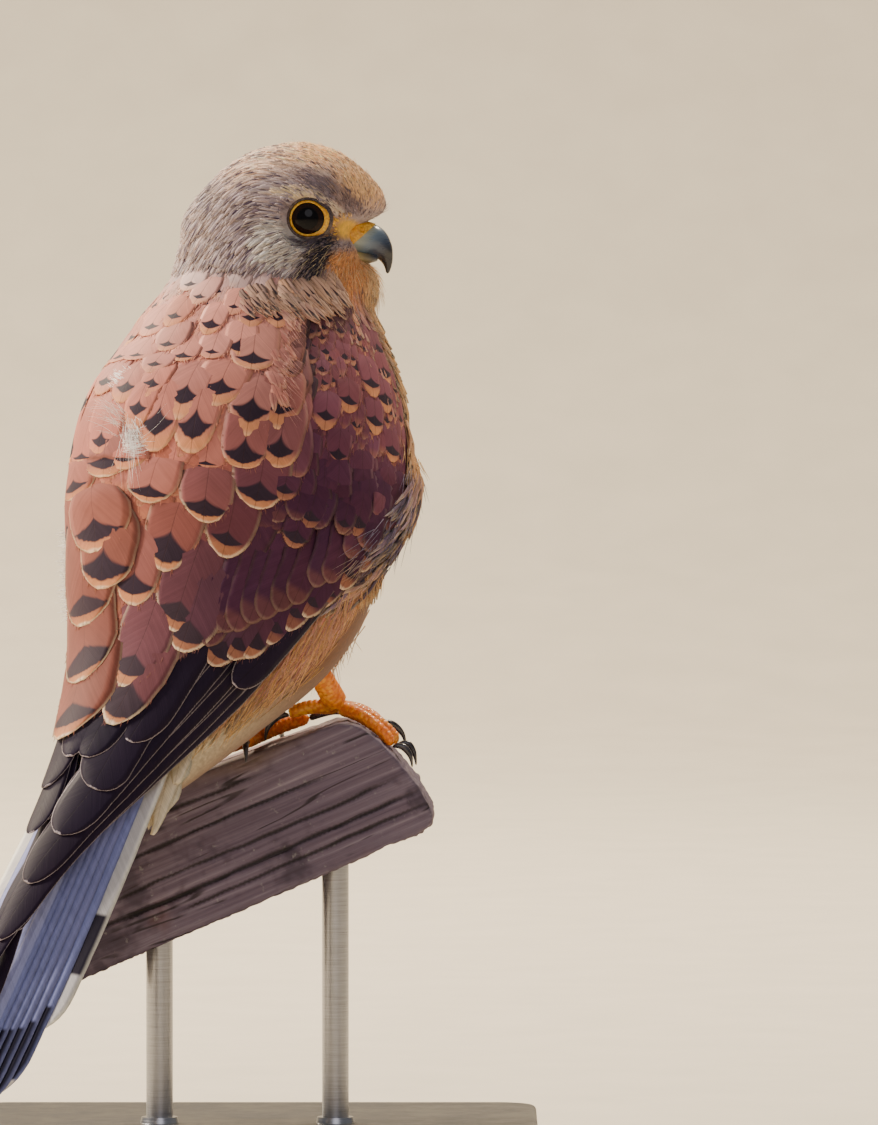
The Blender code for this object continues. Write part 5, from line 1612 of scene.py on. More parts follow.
def lay_fillers(coat, rng, side, s, angle, length, half, tip, share, rim):
    count = len(s)
    rows = rows_from_marks(np.stack([s, angle], axis=1), length * rng.uniform(0.85, 1.15, count),
                           half * rng.uniform(0.85, 1.15, count), rng.normal(2, 4, count))
    rows[:, 0] = np.maximum(rows[:, 0], 0.5)
    rows[:, 2] = np.maximum(rows[:, 2], rows[:, 0] + 4)
    colours = varied(wing_colours(s, angle, side), 0.09, rng, 0.04)
    spotted = rng.random(count) < share
    marks = np.stack([np.where(spotted, 0.5, 0.0), np.full(count, 0.3), np.full(count, 0.15),
                      np.full(count, rim)], axis=1)
    top = tip + rng.uniform(-0.04, 0.04, count) - shoulder_drop(s, angle, side)
    lift = np.stack([-0.6 - shoulder_drop(s, angle, side), top], axis=1)
    roof_feathers(coat, side, rows, lift, tinted(colours), marks, camber=0.12, tilt=0.06,
                  fray=12, across=7, stops=10, root=0.5, widest=0.5, blunt=0.45, ragged=0.05,
                  rng=rng)


def notch_feathers(coat, rng):
    """Soft ragged feathers that overhang the near shoulder from the back and the neck."""
    count = 26
    s = np.sort(rng.uniform(17, 48, count))[::-1]
    edge = notch_angle(s) + rng.normal(-3, 1.5, count)
    back = np.stack([s - rng.uniform(4, 6, count), edge - rng.uniform(5, 9, count),
                     s + rng.uniform(1, 4, count), edge + rng.uniform(-1, 2, count),
                     rng.uniform(1.2, 2.2, count)], axis=1)
    count = 110
    angle = rng.uniform(28, 84, count)
    stop = np.interp(angle, (28, 56, 70, 84), (21, 21, 19, 17)) - rng.uniform(0, 7, count)
    neck = np.stack([stop - rng.uniform(6, 9, count), angle - 7, stop, angle + 5,
                     rng.uniform(0.9, 1.5, count)], axis=1)
    neck = neck[np.argsort(-neck[:, 2])]
    for rows, top, share in ((back, 0.8, 0.1), (neck, 1.0, 0.5)):
        count = len(rows)
        colours = paint(np.zeros((count, 3)) + PINK, NECK_BUFF, ease(24, 18, rows[:, 2]))
        colours = paint(colours, EAR, 0.1 + 0.4 * rng.random(count))
        colours = paint(colours, RUFOUS, ease(17, 26, rows[:, 2]) * 0.7)
        marks = np.stack([np.where(rng.random(count) < share, 0.35, 0.0), np.full(count, 2.4),
                          np.full(count, 0.1), np.full(count, 0.2)], axis=1)
        lift = np.stack([np.full(count, -0.2 if rows is back else -1.4),
                         top + rng.uniform(-0.3, 0.3, count)], axis=1)
        roof_feathers(coat, 1, rows, lift, tinted(varied(colours, 0.12, rng)), marks, camber=0.2,
                      tilt=0.1, fray=3, across=5, stops=8, root=0.6, widest=0.4, blunt=0.3,
                      ragged=0.2, rng=rng)


def flank_feathers(side, finish_used):
    """Loose flank feathers that wrap over the folded wing's leading edge."""
    rng = np.random.default_rng(SEED + 20 + side)
    coat = Coat()
    count = 240
    s = np.sort(rng.uniform(38, 82, count))[::-1]
    lead = np.interp(s, *np.array(WING_LEAD).T)
    start = lead + rng.uniform(2, np.interp(s, (40, 52, 70), (6, 16, 12)), count)
    swing = rng.uniform(10, 24, count) * np.interp(s, (40, 60, 92), (0.4, 1.1, 0.7))
    rows = np.stack([s, start, s + rng.uniform(9, 17, count), start - swing,
                     rng.uniform(0.5, 1.1, count)], axis=1)
    lift = np.stack([rng.uniform(-0.6, 0.2, count), rng.uniform(0.5, 1.7, count)], axis=1)
    lift = lift - (ease(56, 72, s) * 2.0 + ease(52, 42, s) * 0.8)[:, None]
    pick = rng.random(count)
    dark = pick < np.interp(s, (50, 62, 80, 92), (0.1, 0.6, 0.6, 0.3))
    colours = np.where(dark[:, None], FLANK_SLATE, FLANK_DUST)
    colours = paint(colours, FLANK_GOLD, ease(56, 46, s) * 0.8 + ease(80, 94, s) * 0.5)
    colours = paint(colours, FLANK_GOLD, ease(5, 12, start - lead) * 0.6 * (pick > 0.35))
    marks = np.stack([np.where(rng.random(count) < 0.4, 0.6, 0.0), np.full(count, 2.2),
                      np.full(count, 0.5), np.full(count, 0.3)], axis=1)
    roof_feathers(coat, side, rows, lift, tinted(varied(colours, 0.2, rng)), marks, camber=0.3,
                  tilt=0.1, across=5, stops=9, root=0.5, widest=0.35, blunt=0.12, ragged=0.35,
                  rng=rng)
    word = "right" if side > 0 else "left"
    return dress(coat.piece("flank_feathers_" + word), finish_used, "body_plumage", "torso")


# The near and far wing's long feathers as they show: root along, root angle, tip along, tip
# angle, half width, how far round the middle lies, tip lift in the near and in the far wing
LONG_FEATHERS = (
    (92.0, 53.0, 168.0, 24.0, 8.5, -8.0, -0.6, -0.9),
    (92.0, 57.0, 182.0, 17.0, 8.0, 2.0, -1.3, -1.7),
    (92.0, 63.0, 196.0, 9.0, 7.5, 9.0, -2.1, -4.9),
    (92.0, 70.0, 212.0, 2.0, 7.0, 13.0, -2.9, -5.7),
    (92.0, 77.0, 240.0, -45.0, 6.5, 27.0, -3.7, -6.5),
)
DARK_COVERTS = ((92.0, 22.0, 160.0, 7.0, 8.0),
                (80.0, 86.0, 127.0, 67.0, 4.8), (92.0, 42.0, 153.0, 31.0, 7.4),
                (84.0, 80.0, 118.0, 72.0, 3.6))


def flight_feathers(side, finish_used):
    """The long dark feathers of one wing, with narrow pale edges."""
    rng = np.random.default_rng(SEED + 5 + side)
    coat = Coat()
    rows = smooth_rows(LONG_FEATHERS, 9)
    rows[1::2, 2] = rows[:-1:2, 2] - 5
    rows = rows[::-1]
    count = len(rows)
    colours = varied(np.zeros((count, 3)) + FLIGHT, 0.05, rng, 0.02)
    marks = np.tile((0.0, 0.0, 0.5, 0.7), (count, 1))
    lifts = np.stack([np.linspace(-3.4, -1.4, count), rows[:, 6 if side > 0 else 7]], axis=1)
    roof_feathers(coat, side, rows[:, :6], lifts, tinted(colours), marks, camber=0.4, tilt=0.1,
                  across=9, stops=32, root=0.75, widest=0.25, blunt=0.88, ragged=0.01, rng=rng)
    rows = np.array(DARK_COVERTS)
    count = len(rows)
    colours = varied(np.zeros((count, 3)) + FLIGHT, 0.05, rng, 0.02)
    marks = np.tile((0.0, 0.0, 0.5, 0.8), (count, 1))
    lifts = np.tile((-1.8, -0.3), (count, 1))
    roof_feathers(coat, side, rows, lifts, tinted(colours), marks, camber=0.4, tilt=0.15,
                  across=7, stops=20, root=0.7, widest=0.3, blunt=0.8, ragged=0.01, rng=rng)
    word = "right" if side > 0 else "left"
    return dress(coat.piece("flight_feathers_" + word), finish_used, "wing_plumage",
                 "wing_" + word)


def wing_body(side, finish_used):
    """The solid folded wing under its feathers."""
    bm = bmesh.new()
    bmesh.ops.create_grid(bm, x_segments=40, y_segments=60, size=1)
    made = bmesh.ops.extrude_face_region(bm, geom=bm.faces[:])
    top = [g for g in made["geom"] if isinstance(g, bmesh.types.BMVert)]
    bmesh.ops.translate(bm, verts=top, vec=(0, 0, 1))

    def place(points):
        x, v, top = points[:, 0], (points[:, 1] + 1) / 2, points[:, 2]
        start = np.interp(x, (-1, 0.1, 1), (33, 25, 12)) * MM
        stop = np.interp(x, (-1, 0, 1), (138, 126, 104)) * MM
        s = start + (stop - start) * v
        angle = 0.4 + (np.interp(s / MM, *np.array(WING_LEAD).T) - 1.0) * (x + 1) / 2
        inner = -np.interp(s / MM, (100, 130), (4.4, 3.4)) * MM
        rim = np.clip(np.minimum(np.minimum(v, 1 - v) / 0.08, (1 - x) / 0.2), 0.0, 1) ** 0.5
        outer = -1.3 * MM
        middle = (inner + outer) / 2
        return ROOF.point(s, side * np.radians(angle),
                          middle + (np.where(top > 0.5, outer, inner) - middle) * rim)

    reshape(bm, place)
    bmesh.ops.remove_doubles(bm, verts=bm.verts, dist=0.01 * MM)
    word = "right" if side > 0 else "left"
    piece = add_piece("wing_body_" + word, bm)
    points = points_of(piece.data)
    colours = paint(np.zeros((len(points), 3)) + PLUM, FLIGHT,
                    ease(150, 135, points[:, 2] / MM)) * 0.7
    tint = piece.data.attributes.new("tint", "FLOAT_COLOR", "POINT")
    tint.data.foreach_set("color", np.concatenate(
        [colours, np.ones((len(points), 1))], axis=1).astype(np.float32).ravel())
    return dress(piece, finish_used, "wing_plumage", "wing_" + word)


# Tail

def lay_on_tail(coat, vanes, start, middle, depth, side, tint, marks):
    """Feathers along the tail: start is how far down it they are rooted, middle how far out."""
    start, middle, depth = (np.asarray(v, float)[:, None, None] * MM
                            for v in (start, middle, depth))
    open_out = np.interp(vanes.along / MM, (0, 45, 150), (0.45, 0.95, 1.0))
    right = middle * open_out + vanes.lateral
    above = (depth - vanes.lateral * 0.05 - 1.8 * MM * (right / (25 * MM)) ** 2
             - 0.25 * MM * vanes.x**2)
    points = tail_point(vanes.along + start, side * right, above)
    if side < 0:
        vanes.faces = np.where(vanes.faces[:, 2:3] == vanes.faces[:, 3:4],
                               vanes.faces[:, [0, 2, 1, 1]], vanes.faces[:, ::-1])
    count = len(vanes.length)
    root = np.stack([0.4 + 0.01 * side * np.arange(count), np.full(count, 0.97)], axis=1)
    vanes.into(coat, points, tint, marks, root)


def tail_feathers(main_finish, edge_finish, under_finish):
    """Slate middle feathers with a black band, pale outer ones, and cream ones underneath."""
    rng = np.random.default_rng(SEED + 9)
    main, edge, under = Coat(), Coat(), Coat()
    shorter, spread = np.array(TAIL_SHORTER), np.array(TAIL_SPREAD)
    for side in (1, -1):
        for coat, pairs, colour, rim in ((edge, np.array((5,)), TAIL_EDGE, 0.9),
                                         (main, np.arange(5)[::-1], SLATE, 0.14)):
            count = len(pairs)
            vanes = Vanes(TAIL_LENGTH - shorter[pairs] * MM, np.full(count, TAIL_HALF_WIDTH),
                          across=9, stops=34, root=0.5, widest=0.8, blunt=0.9, ragged=0.008,
                          rng=rng)
            depth = -0.5 * pairs - (0.25 if side < 0 else 0.0)
            marks = np.tile((0.0, 0.0, 0.5, rim), (count, 1))
            colours = varied(np.zeros((count, 3)) + colour, 0.04, rng, 0.02)
            lay_on_tail(coat, vanes, 0 * pairs, spread[pairs], depth, side, tinted(colours), marks)
        count = 16
        out = np.linspace(23, 2, count) + rng.normal(0, 0.8, count)
        vanes = Vanes(rng.uniform(38, 52, count) * MM, rng.uniform(3.0, 4.6, count) * MM,
                      across=5, stops=14, root=0.5, widest=0.5, blunt=0.4, ragged=0.2, rng=rng)
        colours = varied(np.zeros((count, 3)) + VENT, 0.08, rng)
        marks = np.tile((0.0, 0.0, 0.5, 0.6), (count, 1))
        lay_on_tail(under, vanes, rng.uniform(6, 26, count), out, rng.uniform(-9, -4.5, count),
                    side, tinted(colours), marks)
    dress(main.piece("tail_feathers"), main_finish, "tail_plumage", "tail")
    dress(edge.piece("tail_edge_feathers"), edge_finish, "tail_plumage", "tail")
    dress(under.piece("undertail_feathers"), under_finish, "body_plumage", "torso")


# Loose down and hair

# White down caught on the back: root along, root angle, strands, length, and the way it blows,
# in degrees up from the picture's right
DOWN_TUFTS = ((55.0, 3.0, 70, 13.0, -80.0), (54.0, -2.0, 40, 8.0, 140.0),
              (45.0, -14.0, 60, 12.0, -30.0), (58.0, 4.0, 70, 11.0, 0.0))


def picture_way(degrees, towards=-0.25):
    turn = np.radians(degrees)
    return np.stack([np.cos(turn), towards + 0 * turn, np.sin(turn)], axis=-1)


def tuft(coat, rng, root, way, length, count, width, colour):
    """Strands that stand round one root and draw together towards a point."""
    roots = root + rng.normal(0, width, (count, 3)) * MM * (1.0, 0.6, 0.4)
    tips = (root + way * length * MM * rng.uniform(0.75, 1.1, (count, 1))
            + rng.normal(0, width * 0.3, (count, 3)) * MM)
    way = tips - roots
    reach = np.linalg.norm(way, axis=1)
    colours = varied(np.zeros((count, 3)) + colour, 0.16, rng, 0.03)
    loose_strands(coat, roots, way / reach[:, None], rng.normal(0, 0.08, (count, 3)), reach,
                  rng.uniform(0.1, 0.2, count) * MM, tinted(colours, 1.0))


def roof_strands(coat, rng, s, angle, run, swing, lifts, half, colours):
    """Strands over the near wing, which run along it and swing round it from their roots."""
    first = ROOF.point(s * MM, np.radians(angle), lifts[0] * MM)
    way = ROOF.point((s + run) * MM, np.radians(angle + swing), lifts[1] * MM) - first
    reach = np.linalg.norm(way, axis=1)
    loose_strands(coat, first, way / reach[:, None], rng.normal(0, 0.07, (len(s), 3)), reach,
                  half * rng.uniform(0.7, 1.3, len(s)) * MM,
                  tinted(varied(colours, 0.14, rng, 0.03), 1.0))


def wing_strands(finish_used):
    """White down on the back, the far edge's barbs painted white as a rim highlight, and hair at the
    notch and the flank.
    """
    rng = np.random.default_rng(SEED + 30)
    coat = Coat()
    for s, angle, count, length, blows in DOWN_TUFTS:
        roots = ROOF.point(s * MM + rng.normal(0, 1.1, count) * MM,
                           np.radians(angle + rng.normal(0, 2.0, count)), 1.5 * MM)
        fan = rng.normal(0, 1, count)
        ways = picture_way(blows + 9 * fan)
        bends = picture_way(blows + 90, 0.0) * (fan * 0.14 + 0.16)[:, None]
        white = np.zeros((count, 3)) + WHITE_DOWN
        loose_strands(coat, roots, ways, bends, length * rng.uniform(0.4, 1.1, count) * MM,
                      rng.uniform(0.03, 0.06, count) * MM, tinted(white, 1.0))
    # Loose barbs on the far wing's edge, painted white as a rim highlight of light from behind
    count = 90
    roots = ROOF.point(np.linspace(88, 114, count) * MM, np.radians(-49.0), -1.0 * MM)
    ways = picture_way(184 + rng.normal(0, 9, count), 0.05)
    loose_strands(coat, roots, ways, 0 * ways, rng.uniform(2.2, 4.4, count) * MM,
                  np.full(count, 0.11 * MM), tinted(np.zeros((count, 3)) + WHITE_DOWN, 1.0))
    s = rng.uniform(18, 48, 60)
    roof_strands(coat, rng, s, notch_angle(s) - rng.uniform(0, 4, 60), rng.uniform(2, 4, 60),
                 rng.uniform(3, 6, 60), (1.2, 1.2), 0.05, np.zeros((60, 3)) + PINK)
    count = 130
    s = rng.uniform(46, 84, count)
    lead = np.interp(s, *np.array(WING_LEAD).T)
    colours = np.where(rng.random((count, 1)) < 0.3, FLANK_SLATE, FLANK_DUST)
    colours = paint(colours, GOLD_STRAND, ease(56, 48, s) + ease(76, 86, s) * 0.6)
    roof_strands(coat, rng, s, lead + rng.uniform(-12, 12, count), rng.uniform(4, 8, count),
                 -rng.uniform(2, 9, count), (0.8, 2.6), 0.09, colours)
    dress(coat.piece("wing_strands"), finish_used, "wing_plumage", "wing_right", "wing_left")


# Tufts: root forward, right and up in the body's plane, length, strands, spread, and the way the
# point hangs, as picture degrees
BELLY_TUFTS = (
    (24.0, 12.0, 147.0, 11.0, 30, 1.5, -100.0), (21.0, 16.0, 144.0, 12.0, 30, 1.5, -108.0),
    (27.0, 8.0, 151.0, 11.0, 26, 1.4, -98.0), (30.0, 6.0, 158.0, 10.0, 24, 1.4, -95.0),
    (17.0, 18.0, 140.0, 12.0, 30, 1.6, -115.0), (31.0, 10.0, 164.0, 9.0, 22, 1.4, -97.0),
)


def body_strands(skin, finish_used):
    """Long hair-like barbs on the trousers and belly, and fine bristles round the throat."""
    rng = np.random.default_rng(SEED + 31)
    belly, head = Coat(), Coat()
    for forward, right, up, length, count, width, hang in BELLY_TUFTS:
        root, _ = skin.drop(in_plane(forward, right, up)[None])
        tuft(belly, rng, root[0], picture_way(np.array(hang), -0.2), length, count, width, BELLY_AND_SHADE)

    def low(points):
        return (points[:, 2] < 160 * MM) & ~under_wing(points, 4)

    def throat(points):
        a, w, u = on_head(points)
        return (a > -2) & (u < -6) & (u > -27) & ~bare_face(points)

    def all_head(points):
        return (points[:, 2] > 226 * MM) & ~bare_face(points)

    for wanted, gap, reach, half, lift, colour, drop in (
            (low, 1.15, (9.0, 18.0), 0.15, 0.18, GOLD_STRAND, 0.2),
            (throat, 1.5, (2.5, 5.5), 0.07, 0.35, CHIN, 0.2),
            # the head's fine strands lean towards the crown colour and its painted highlight
            (all_head, 1.7, (1.4, 3.0), 0.06, 0.3, CROWN_AND_HIGHLIGHT, 0.0)):
        roots = skin.roots(lambda points: gap * MM, rng, wanted)
        _, normals = skin.drop(roots)
        count = len(roots)
        ways = lie_of_coat(roots, normals)
        ways = ways - (ways * normals).sum(-1, keepdims=True) * normals
        ways = ways / np.linalg.norm(ways, axis=1)[:, None] + normals * lift
        ways = ways + rng.normal(0, 0.12, (count, 3))
        bends = rng.normal(0, 0.1, (count, 3)) - normals * lift * 0.4 - np.array((0, 0, drop))
        length = rng.uniform(*reach, count) * MM
        tips = roots + (ways + bends) * length[:, None]
        clear = ~bare_face(tips) & ~bare_face(roots + ways * length[:, None] * 0.5)
        clear &= above_hem(tips + (0, 0, 3 * MM))
        share = 0.35 if wanted is all_head else 0.9
        colours = paint(skin_colours(roots), colour, rng.uniform(0, share, count))
        loose_strands(belly if wanted is low else head, roots[clear], ways[clear],
                      bends[clear], length[clear],
                      (half * rng.uniform(0.7, 1.3, count) * MM)[clear],
                      tinted(varied(colours, 0.14, rng, 0.03), 1.0)[clear])
    dress(belly.piece("belly_strands"), finish_used, "body_plumage", "torso")
    dress(head.piece("head_strands"), finish_used, "head_plumage", "head", "neck")


# Eyes and bill

EYE_OPENING = 4.25 * MM
EYE_LEVEL = 4.62 * MM

def eyes(finish_used):
    for side, word in ((-1, "right"), (1, "left")):
        bm = ellipsoid(eye_centre(side), (EYE_RADIUS,) * 3, 64, 48)
        dress(add_piece("eyeball_" + word, bm), finish_used, "eye", "eye_" + word)


def ring_piece(name, side, profile, finish_used):
    """A ring round the eye. profile: a ring's points -> radius and level, in metres."""
    bm = bmesh.new()
    circle = bmesh.ops.create_circle(bm, segments=14, radius=1)["verts"]
    edges = list({e for v in circle for e in v.link_edges})
    bmesh.ops.translate(bm, verts=circle, vec=(5, 0, 0))
    bmesh.ops.rotate(bm, verts=circle, matrix=Matrix.Rotation(math.pi / 2, 3, "X"),
                     cent=(5, 0, 0))
    bmesh.ops.spin(bm, geom=circle + edges, axis=(0, 0, 1), angle=math.tau, steps=72)
    bmesh.ops.remove_doubles(bm, verts=bm.verts, dist=0.001)

    def place(points):
        turn = np.arctan2(points[:, 1], points[:, 0])
        radius, level = profile(turn, np.hypot(points[:, 0], points[:, 1]) - 5, points[:, 2])
        return np.stack([radius * np.cos(turn), side * level, radius * np.sin(turn)],
                        axis=1) + eye_centre(side)

    reshape(bm, place)
    dress(add_piece(name, bm), finish_used, "cere_skin", "head")


def eye_rings(yellow, dark):
    """The bare yellow ring round each eye, wider in front, inside a dark rim."""
    def ring(turn, out, up):
        front = ease(0.45, 1.0, np.cos(turn + 0.25))
        wrinkle = 1 + 0.05 * np.sin(turn * 46) + 0.04 * np.sin(turn * 31 + 1)
        radius = (EYE_OPENING + 0.12 * MM + 0.45 * MM * front
                  + out * (0.34 + 0.55 * front) * MM * wrinkle)
        level = EYE_LEVEL + up * 0.36 * MM * wrinkle - 0.45 * MM * ease(0, 1, out)
        return radius, level - 0.35 * MM * front

    def rim(turn, out, up):
        front = ease(0.45, 1.0, np.cos(turn + 0.25))
        radius = EYE_OPENING + (1.1 + 0.75 * front + out * 0.6) * MM
        return radius, EYE_LEVEL - (0.95 + 0.35 * front + 0.4 * out - up * 0.5) * MM

    for side, word in ((-1, "right"), (1, "left")):
        ring_piece("eye_ring_" + word, side, ring, yellow)
        ring_piece("eye_rim_" + word, side, rim, dark)


def cut_plane(bm, point, normal):
    """Cuts off what lies on the normal's side of a plane, and closes the cut."""
    geom = bm.verts[:] + bm.edges[:] + bm.faces[:]
    bmesh.ops.bisect_plane(bm, geom=geom, plane_co=Vector(point), plane_no=Vector(normal),
                           clear_outer=True)
    bmesh.ops.holes_fill(bm, edges=[e for e in bm.edges if e.is_boundary], sides=0)


def cere_plane(shift):
    """A point on the line between cere and bill, and the direction across it."""
    top, foot = np.array(CERE_FRONT_TOP), np.array(CERE_FRONT_FOOT)
    line = (foot - top) / np.linalg.norm(foot - top)
    across = np.array((-line[1], line[0]))
    across *= np.sign(across[0])
    place = top + across * shift
    return from_eye(np.array(place[0]), 0, np.array(place[1])), (across[0], 0, across[1])


def bill(upper_finish, lower_finish, cere_finish):
    """Hooked upper bill with its tooth, lower bill, and the cere with its nostrils."""
    upper, cere = bill_form(UPPER_BILL), bill_form(UPPER_BILL)
    point, normal = cere_plane(-0.3 * MM)
    cut_plane(upper, point, -np.array(normal))

    def sharpen(points):
        a, u = (points[:, 0] - EYE[0]) / MM, (points[:, 2] - EYE[2]) / MM
        tooth = blob(a, u, (16.6, -11.2), (1.2, 1.6)) * ease(-9.0, -10.4, u)
        points[:, 2] -= 0.7 * MM * tooth
        points[:, 1] = EYE[1] + (points[:, 1] - EYE[1]) * (1 - 0.12 * ease(-9, -11, u))
        return points

    reshape(upper, sharpen)
    dress(add_piece("upper_bill", upper), upper_finish, "bill_horn", "bill_upper")
    lower = bill_form(LOWER_BILL)
    dress(add_piece("lower_bill", lower), lower_finish, "bill_horn", "bill_lower")

    point, normal = cere_plane(0.15 * MM)
    cut_plane(cere, point, normal)

    def swell(points):
        a, w, u = on_head(points)
        side = np.sign(points[:, 1] - EYE[1])
        away = np.hypot(a - NOSTRIL[0] / MM, u - NOSTRIL[1] / MM)
        ring = np.exp(-((away - 1.5) / 0.7) ** 2) * (w > 1.2)
        crown = np.maximum(0, u + 5.2) / 5
        points[:, 1] += side * (0.35 + 0.45 * ring) * MM
        points[:, 2] += 0.35 * MM * crown
        return points

    reshape(cere, swell)
    piece = add_piece("cere_skin", cere)
    holes = [ellipsoid(from_eye(np.array(NOSTRIL[0]), side * (NOSTRIL_OUT + 0.6 * MM),
                                np.array(NOSTRIL[1])), (NOSTRIL_RADIUS * 0.95,) * 3, 24, 16)
             for side in (1, -1)]
    hollow(piece, holes)
    piece.data.shade_smooth()
    dress(piece, cere_finish, "cere_skin", "cere")
    for side, word in ((-1, "right"), (1, "left")):
        centre = from_eye(np.array(NOSTRIL[0]), side * (NOSTRIL_OUT - 0.35 * MM),
                          np.array(NOSTRIL[1]))
        knob = ellipsoid(centre, (0.32 * MM, 0.5 * MM, 0.32 * MM), 16, 12)
        dress(add_piece("nostril_knob_" + word, knob), cere_finish, "cere_skin", "cere")


# Legs

def leg_paths(side):
    """The centre lines of the tarsus and toes, each with its radius at both ends."""
    heel = np.array(RIGHT_HEEL if side == "right" else LEFT_HEEL) * MM
    ball = np.array(RIGHT_BALL if side == "right" else LEFT_BALL) * MM
    paths = [([heel, heel + (ball - heel) * 0.5, ball], (3.0 * MM, 2.8 * MM, 3.2 * MM))]
    for label in TOES:
        if label.startswith(side):
            path = [np.array(p) * MM for p in TOES[label]]
            paths.append((path, tuple(TOE_RADIUS * (1.12 - 0.1 * k) for k in range(len(path)))))
    return paths


def leg(side, finish_used):
    """A tarsus and its toes, with plates across their upper side and grains elsewhere."""
    paths = leg_paths(side)
    forms = [limb(list(zip(path, sizes)), 28, 30, (0.08, 0.06) if k == 0 else (0.12, 0.12))
             for k, (path, sizes) in enumerate(paths)]
    piece = merge("leg_skin_" + side, forms, 0.3 * MM, 3)
    points = points_of(piece.data)
    normals = np.empty(len(points) * 3, np.float32)
    piece.data.vertices.foreach_get("normal", normals)
    normals = normals.reshape(-1, 3).astype(float)
    best = np.full(len(points), np.inf)
    along, upper = np.zeros(len(points)), np.zeros(len(points))
    for k, (path, _) in enumerate(paths):
        line = smooth_rows(path, 160)
        steps = np.concatenate([[0], np.cumsum(np.linalg.norm(np.diff(line, axis=0), axis=1))])
        gap = np.linalg.norm(points[:, None] - line[None], axis=2)
        index = gap.argmin(axis=1)
        near = gap[np.arange(len(points)), index]
        closer = near < best
        best[closer] = near[closer]
        along[closer] = steps[index[closer]] + 0.37 * k * MM
        face = np.array((0.55, -0.55, 0.3)) if k == 0 else np.array((0.0, 0.0, 1.0))
        upper[closer] = (normals @ (face / np.linalg.norm(face)))[closer]
    ring = np.abs((along / (1.35 * MM)) % 1 * 2 - 1)
    plates = (1 - ring**5) * ease(-0.1, 0.35, upper)
    grain = np.sin(points[:, 0] / MM * 5.1) * np.sin(points[:, 1] / MM * 4.7 + 1)
    grain = np.abs(grain * np.sin(points[:, 2] / MM * 4.9 + 2)) ** 0.5 * ease(0.3, -0.1, upper)
    push = plates * 0.34 + grain * 0.24 - 0.12
    set_points(piece.data, points + normals * (push * MM)[:, None])
    dress(piece, finish_used, "leg_skin", "leg_" + side)


def claws(finish_used):
    for label, path in CLAWS.items():
        path = [np.array(p) * MM for p in path]
        side, toe = label.split("_")
        sizes = (1.05, 0.98, 0.7, 0.22)
        form = limb([(p, CLAW_RADIUS * size) for p, size in zip(path, sizes)], 24, 32,
                    (0.1, 0.05))
        dress(add_piece(f"horn_claw_{side}_{toe}", form), finish_used, "claw_horn",
              "claw_" + label)


# Perch and stand

def lattice_noise(points, cell, seed):
    """Smooth noise from -1 to 1 with bumps about one cell across."""
    grid = np.random.default_rng(seed).uniform(-1, 1, (32, 32, 32))
    at = points / cell
    low = np.floor(at).astype(int)
    t = at - low
    t = t * t * (3 - 2 * t)
    total = 0.0
    for i in (0, 1):
        for j in (0, 1):
            for k in (0, 1):
                weight = (np.abs(1 - i - t[:, 0]) * np.abs(1 - j - t[:, 1])
                          * np.abs(1 - k - t[:, 2]))
                corner = (low + (i, j, k)) % 32
                total = total + weight * grid[corner[:, 0], corner[:, 1], corner[:, 2]]
    return total


# Cracks along the rail: height over its lower edge, width, depth, and where each runs, from its
# left end, all in millimetres
CRACKS = ((31.5, 0.5, 0.4, -5, 80), (24.0, 0.6, 0.8, -5, 96), (16.0, 0.5, 0.6, 24, 112),
          (10.6, 0.65, 0.9, -5, 116), (6.6, 0.5, 0.5, 40, 118))
RAIL_FOOT = (-54.6 * MM, 41.7 * MM)
RAIL_TURN = math.atan2(85.4 - 41.7, 46.4 + 54.6)


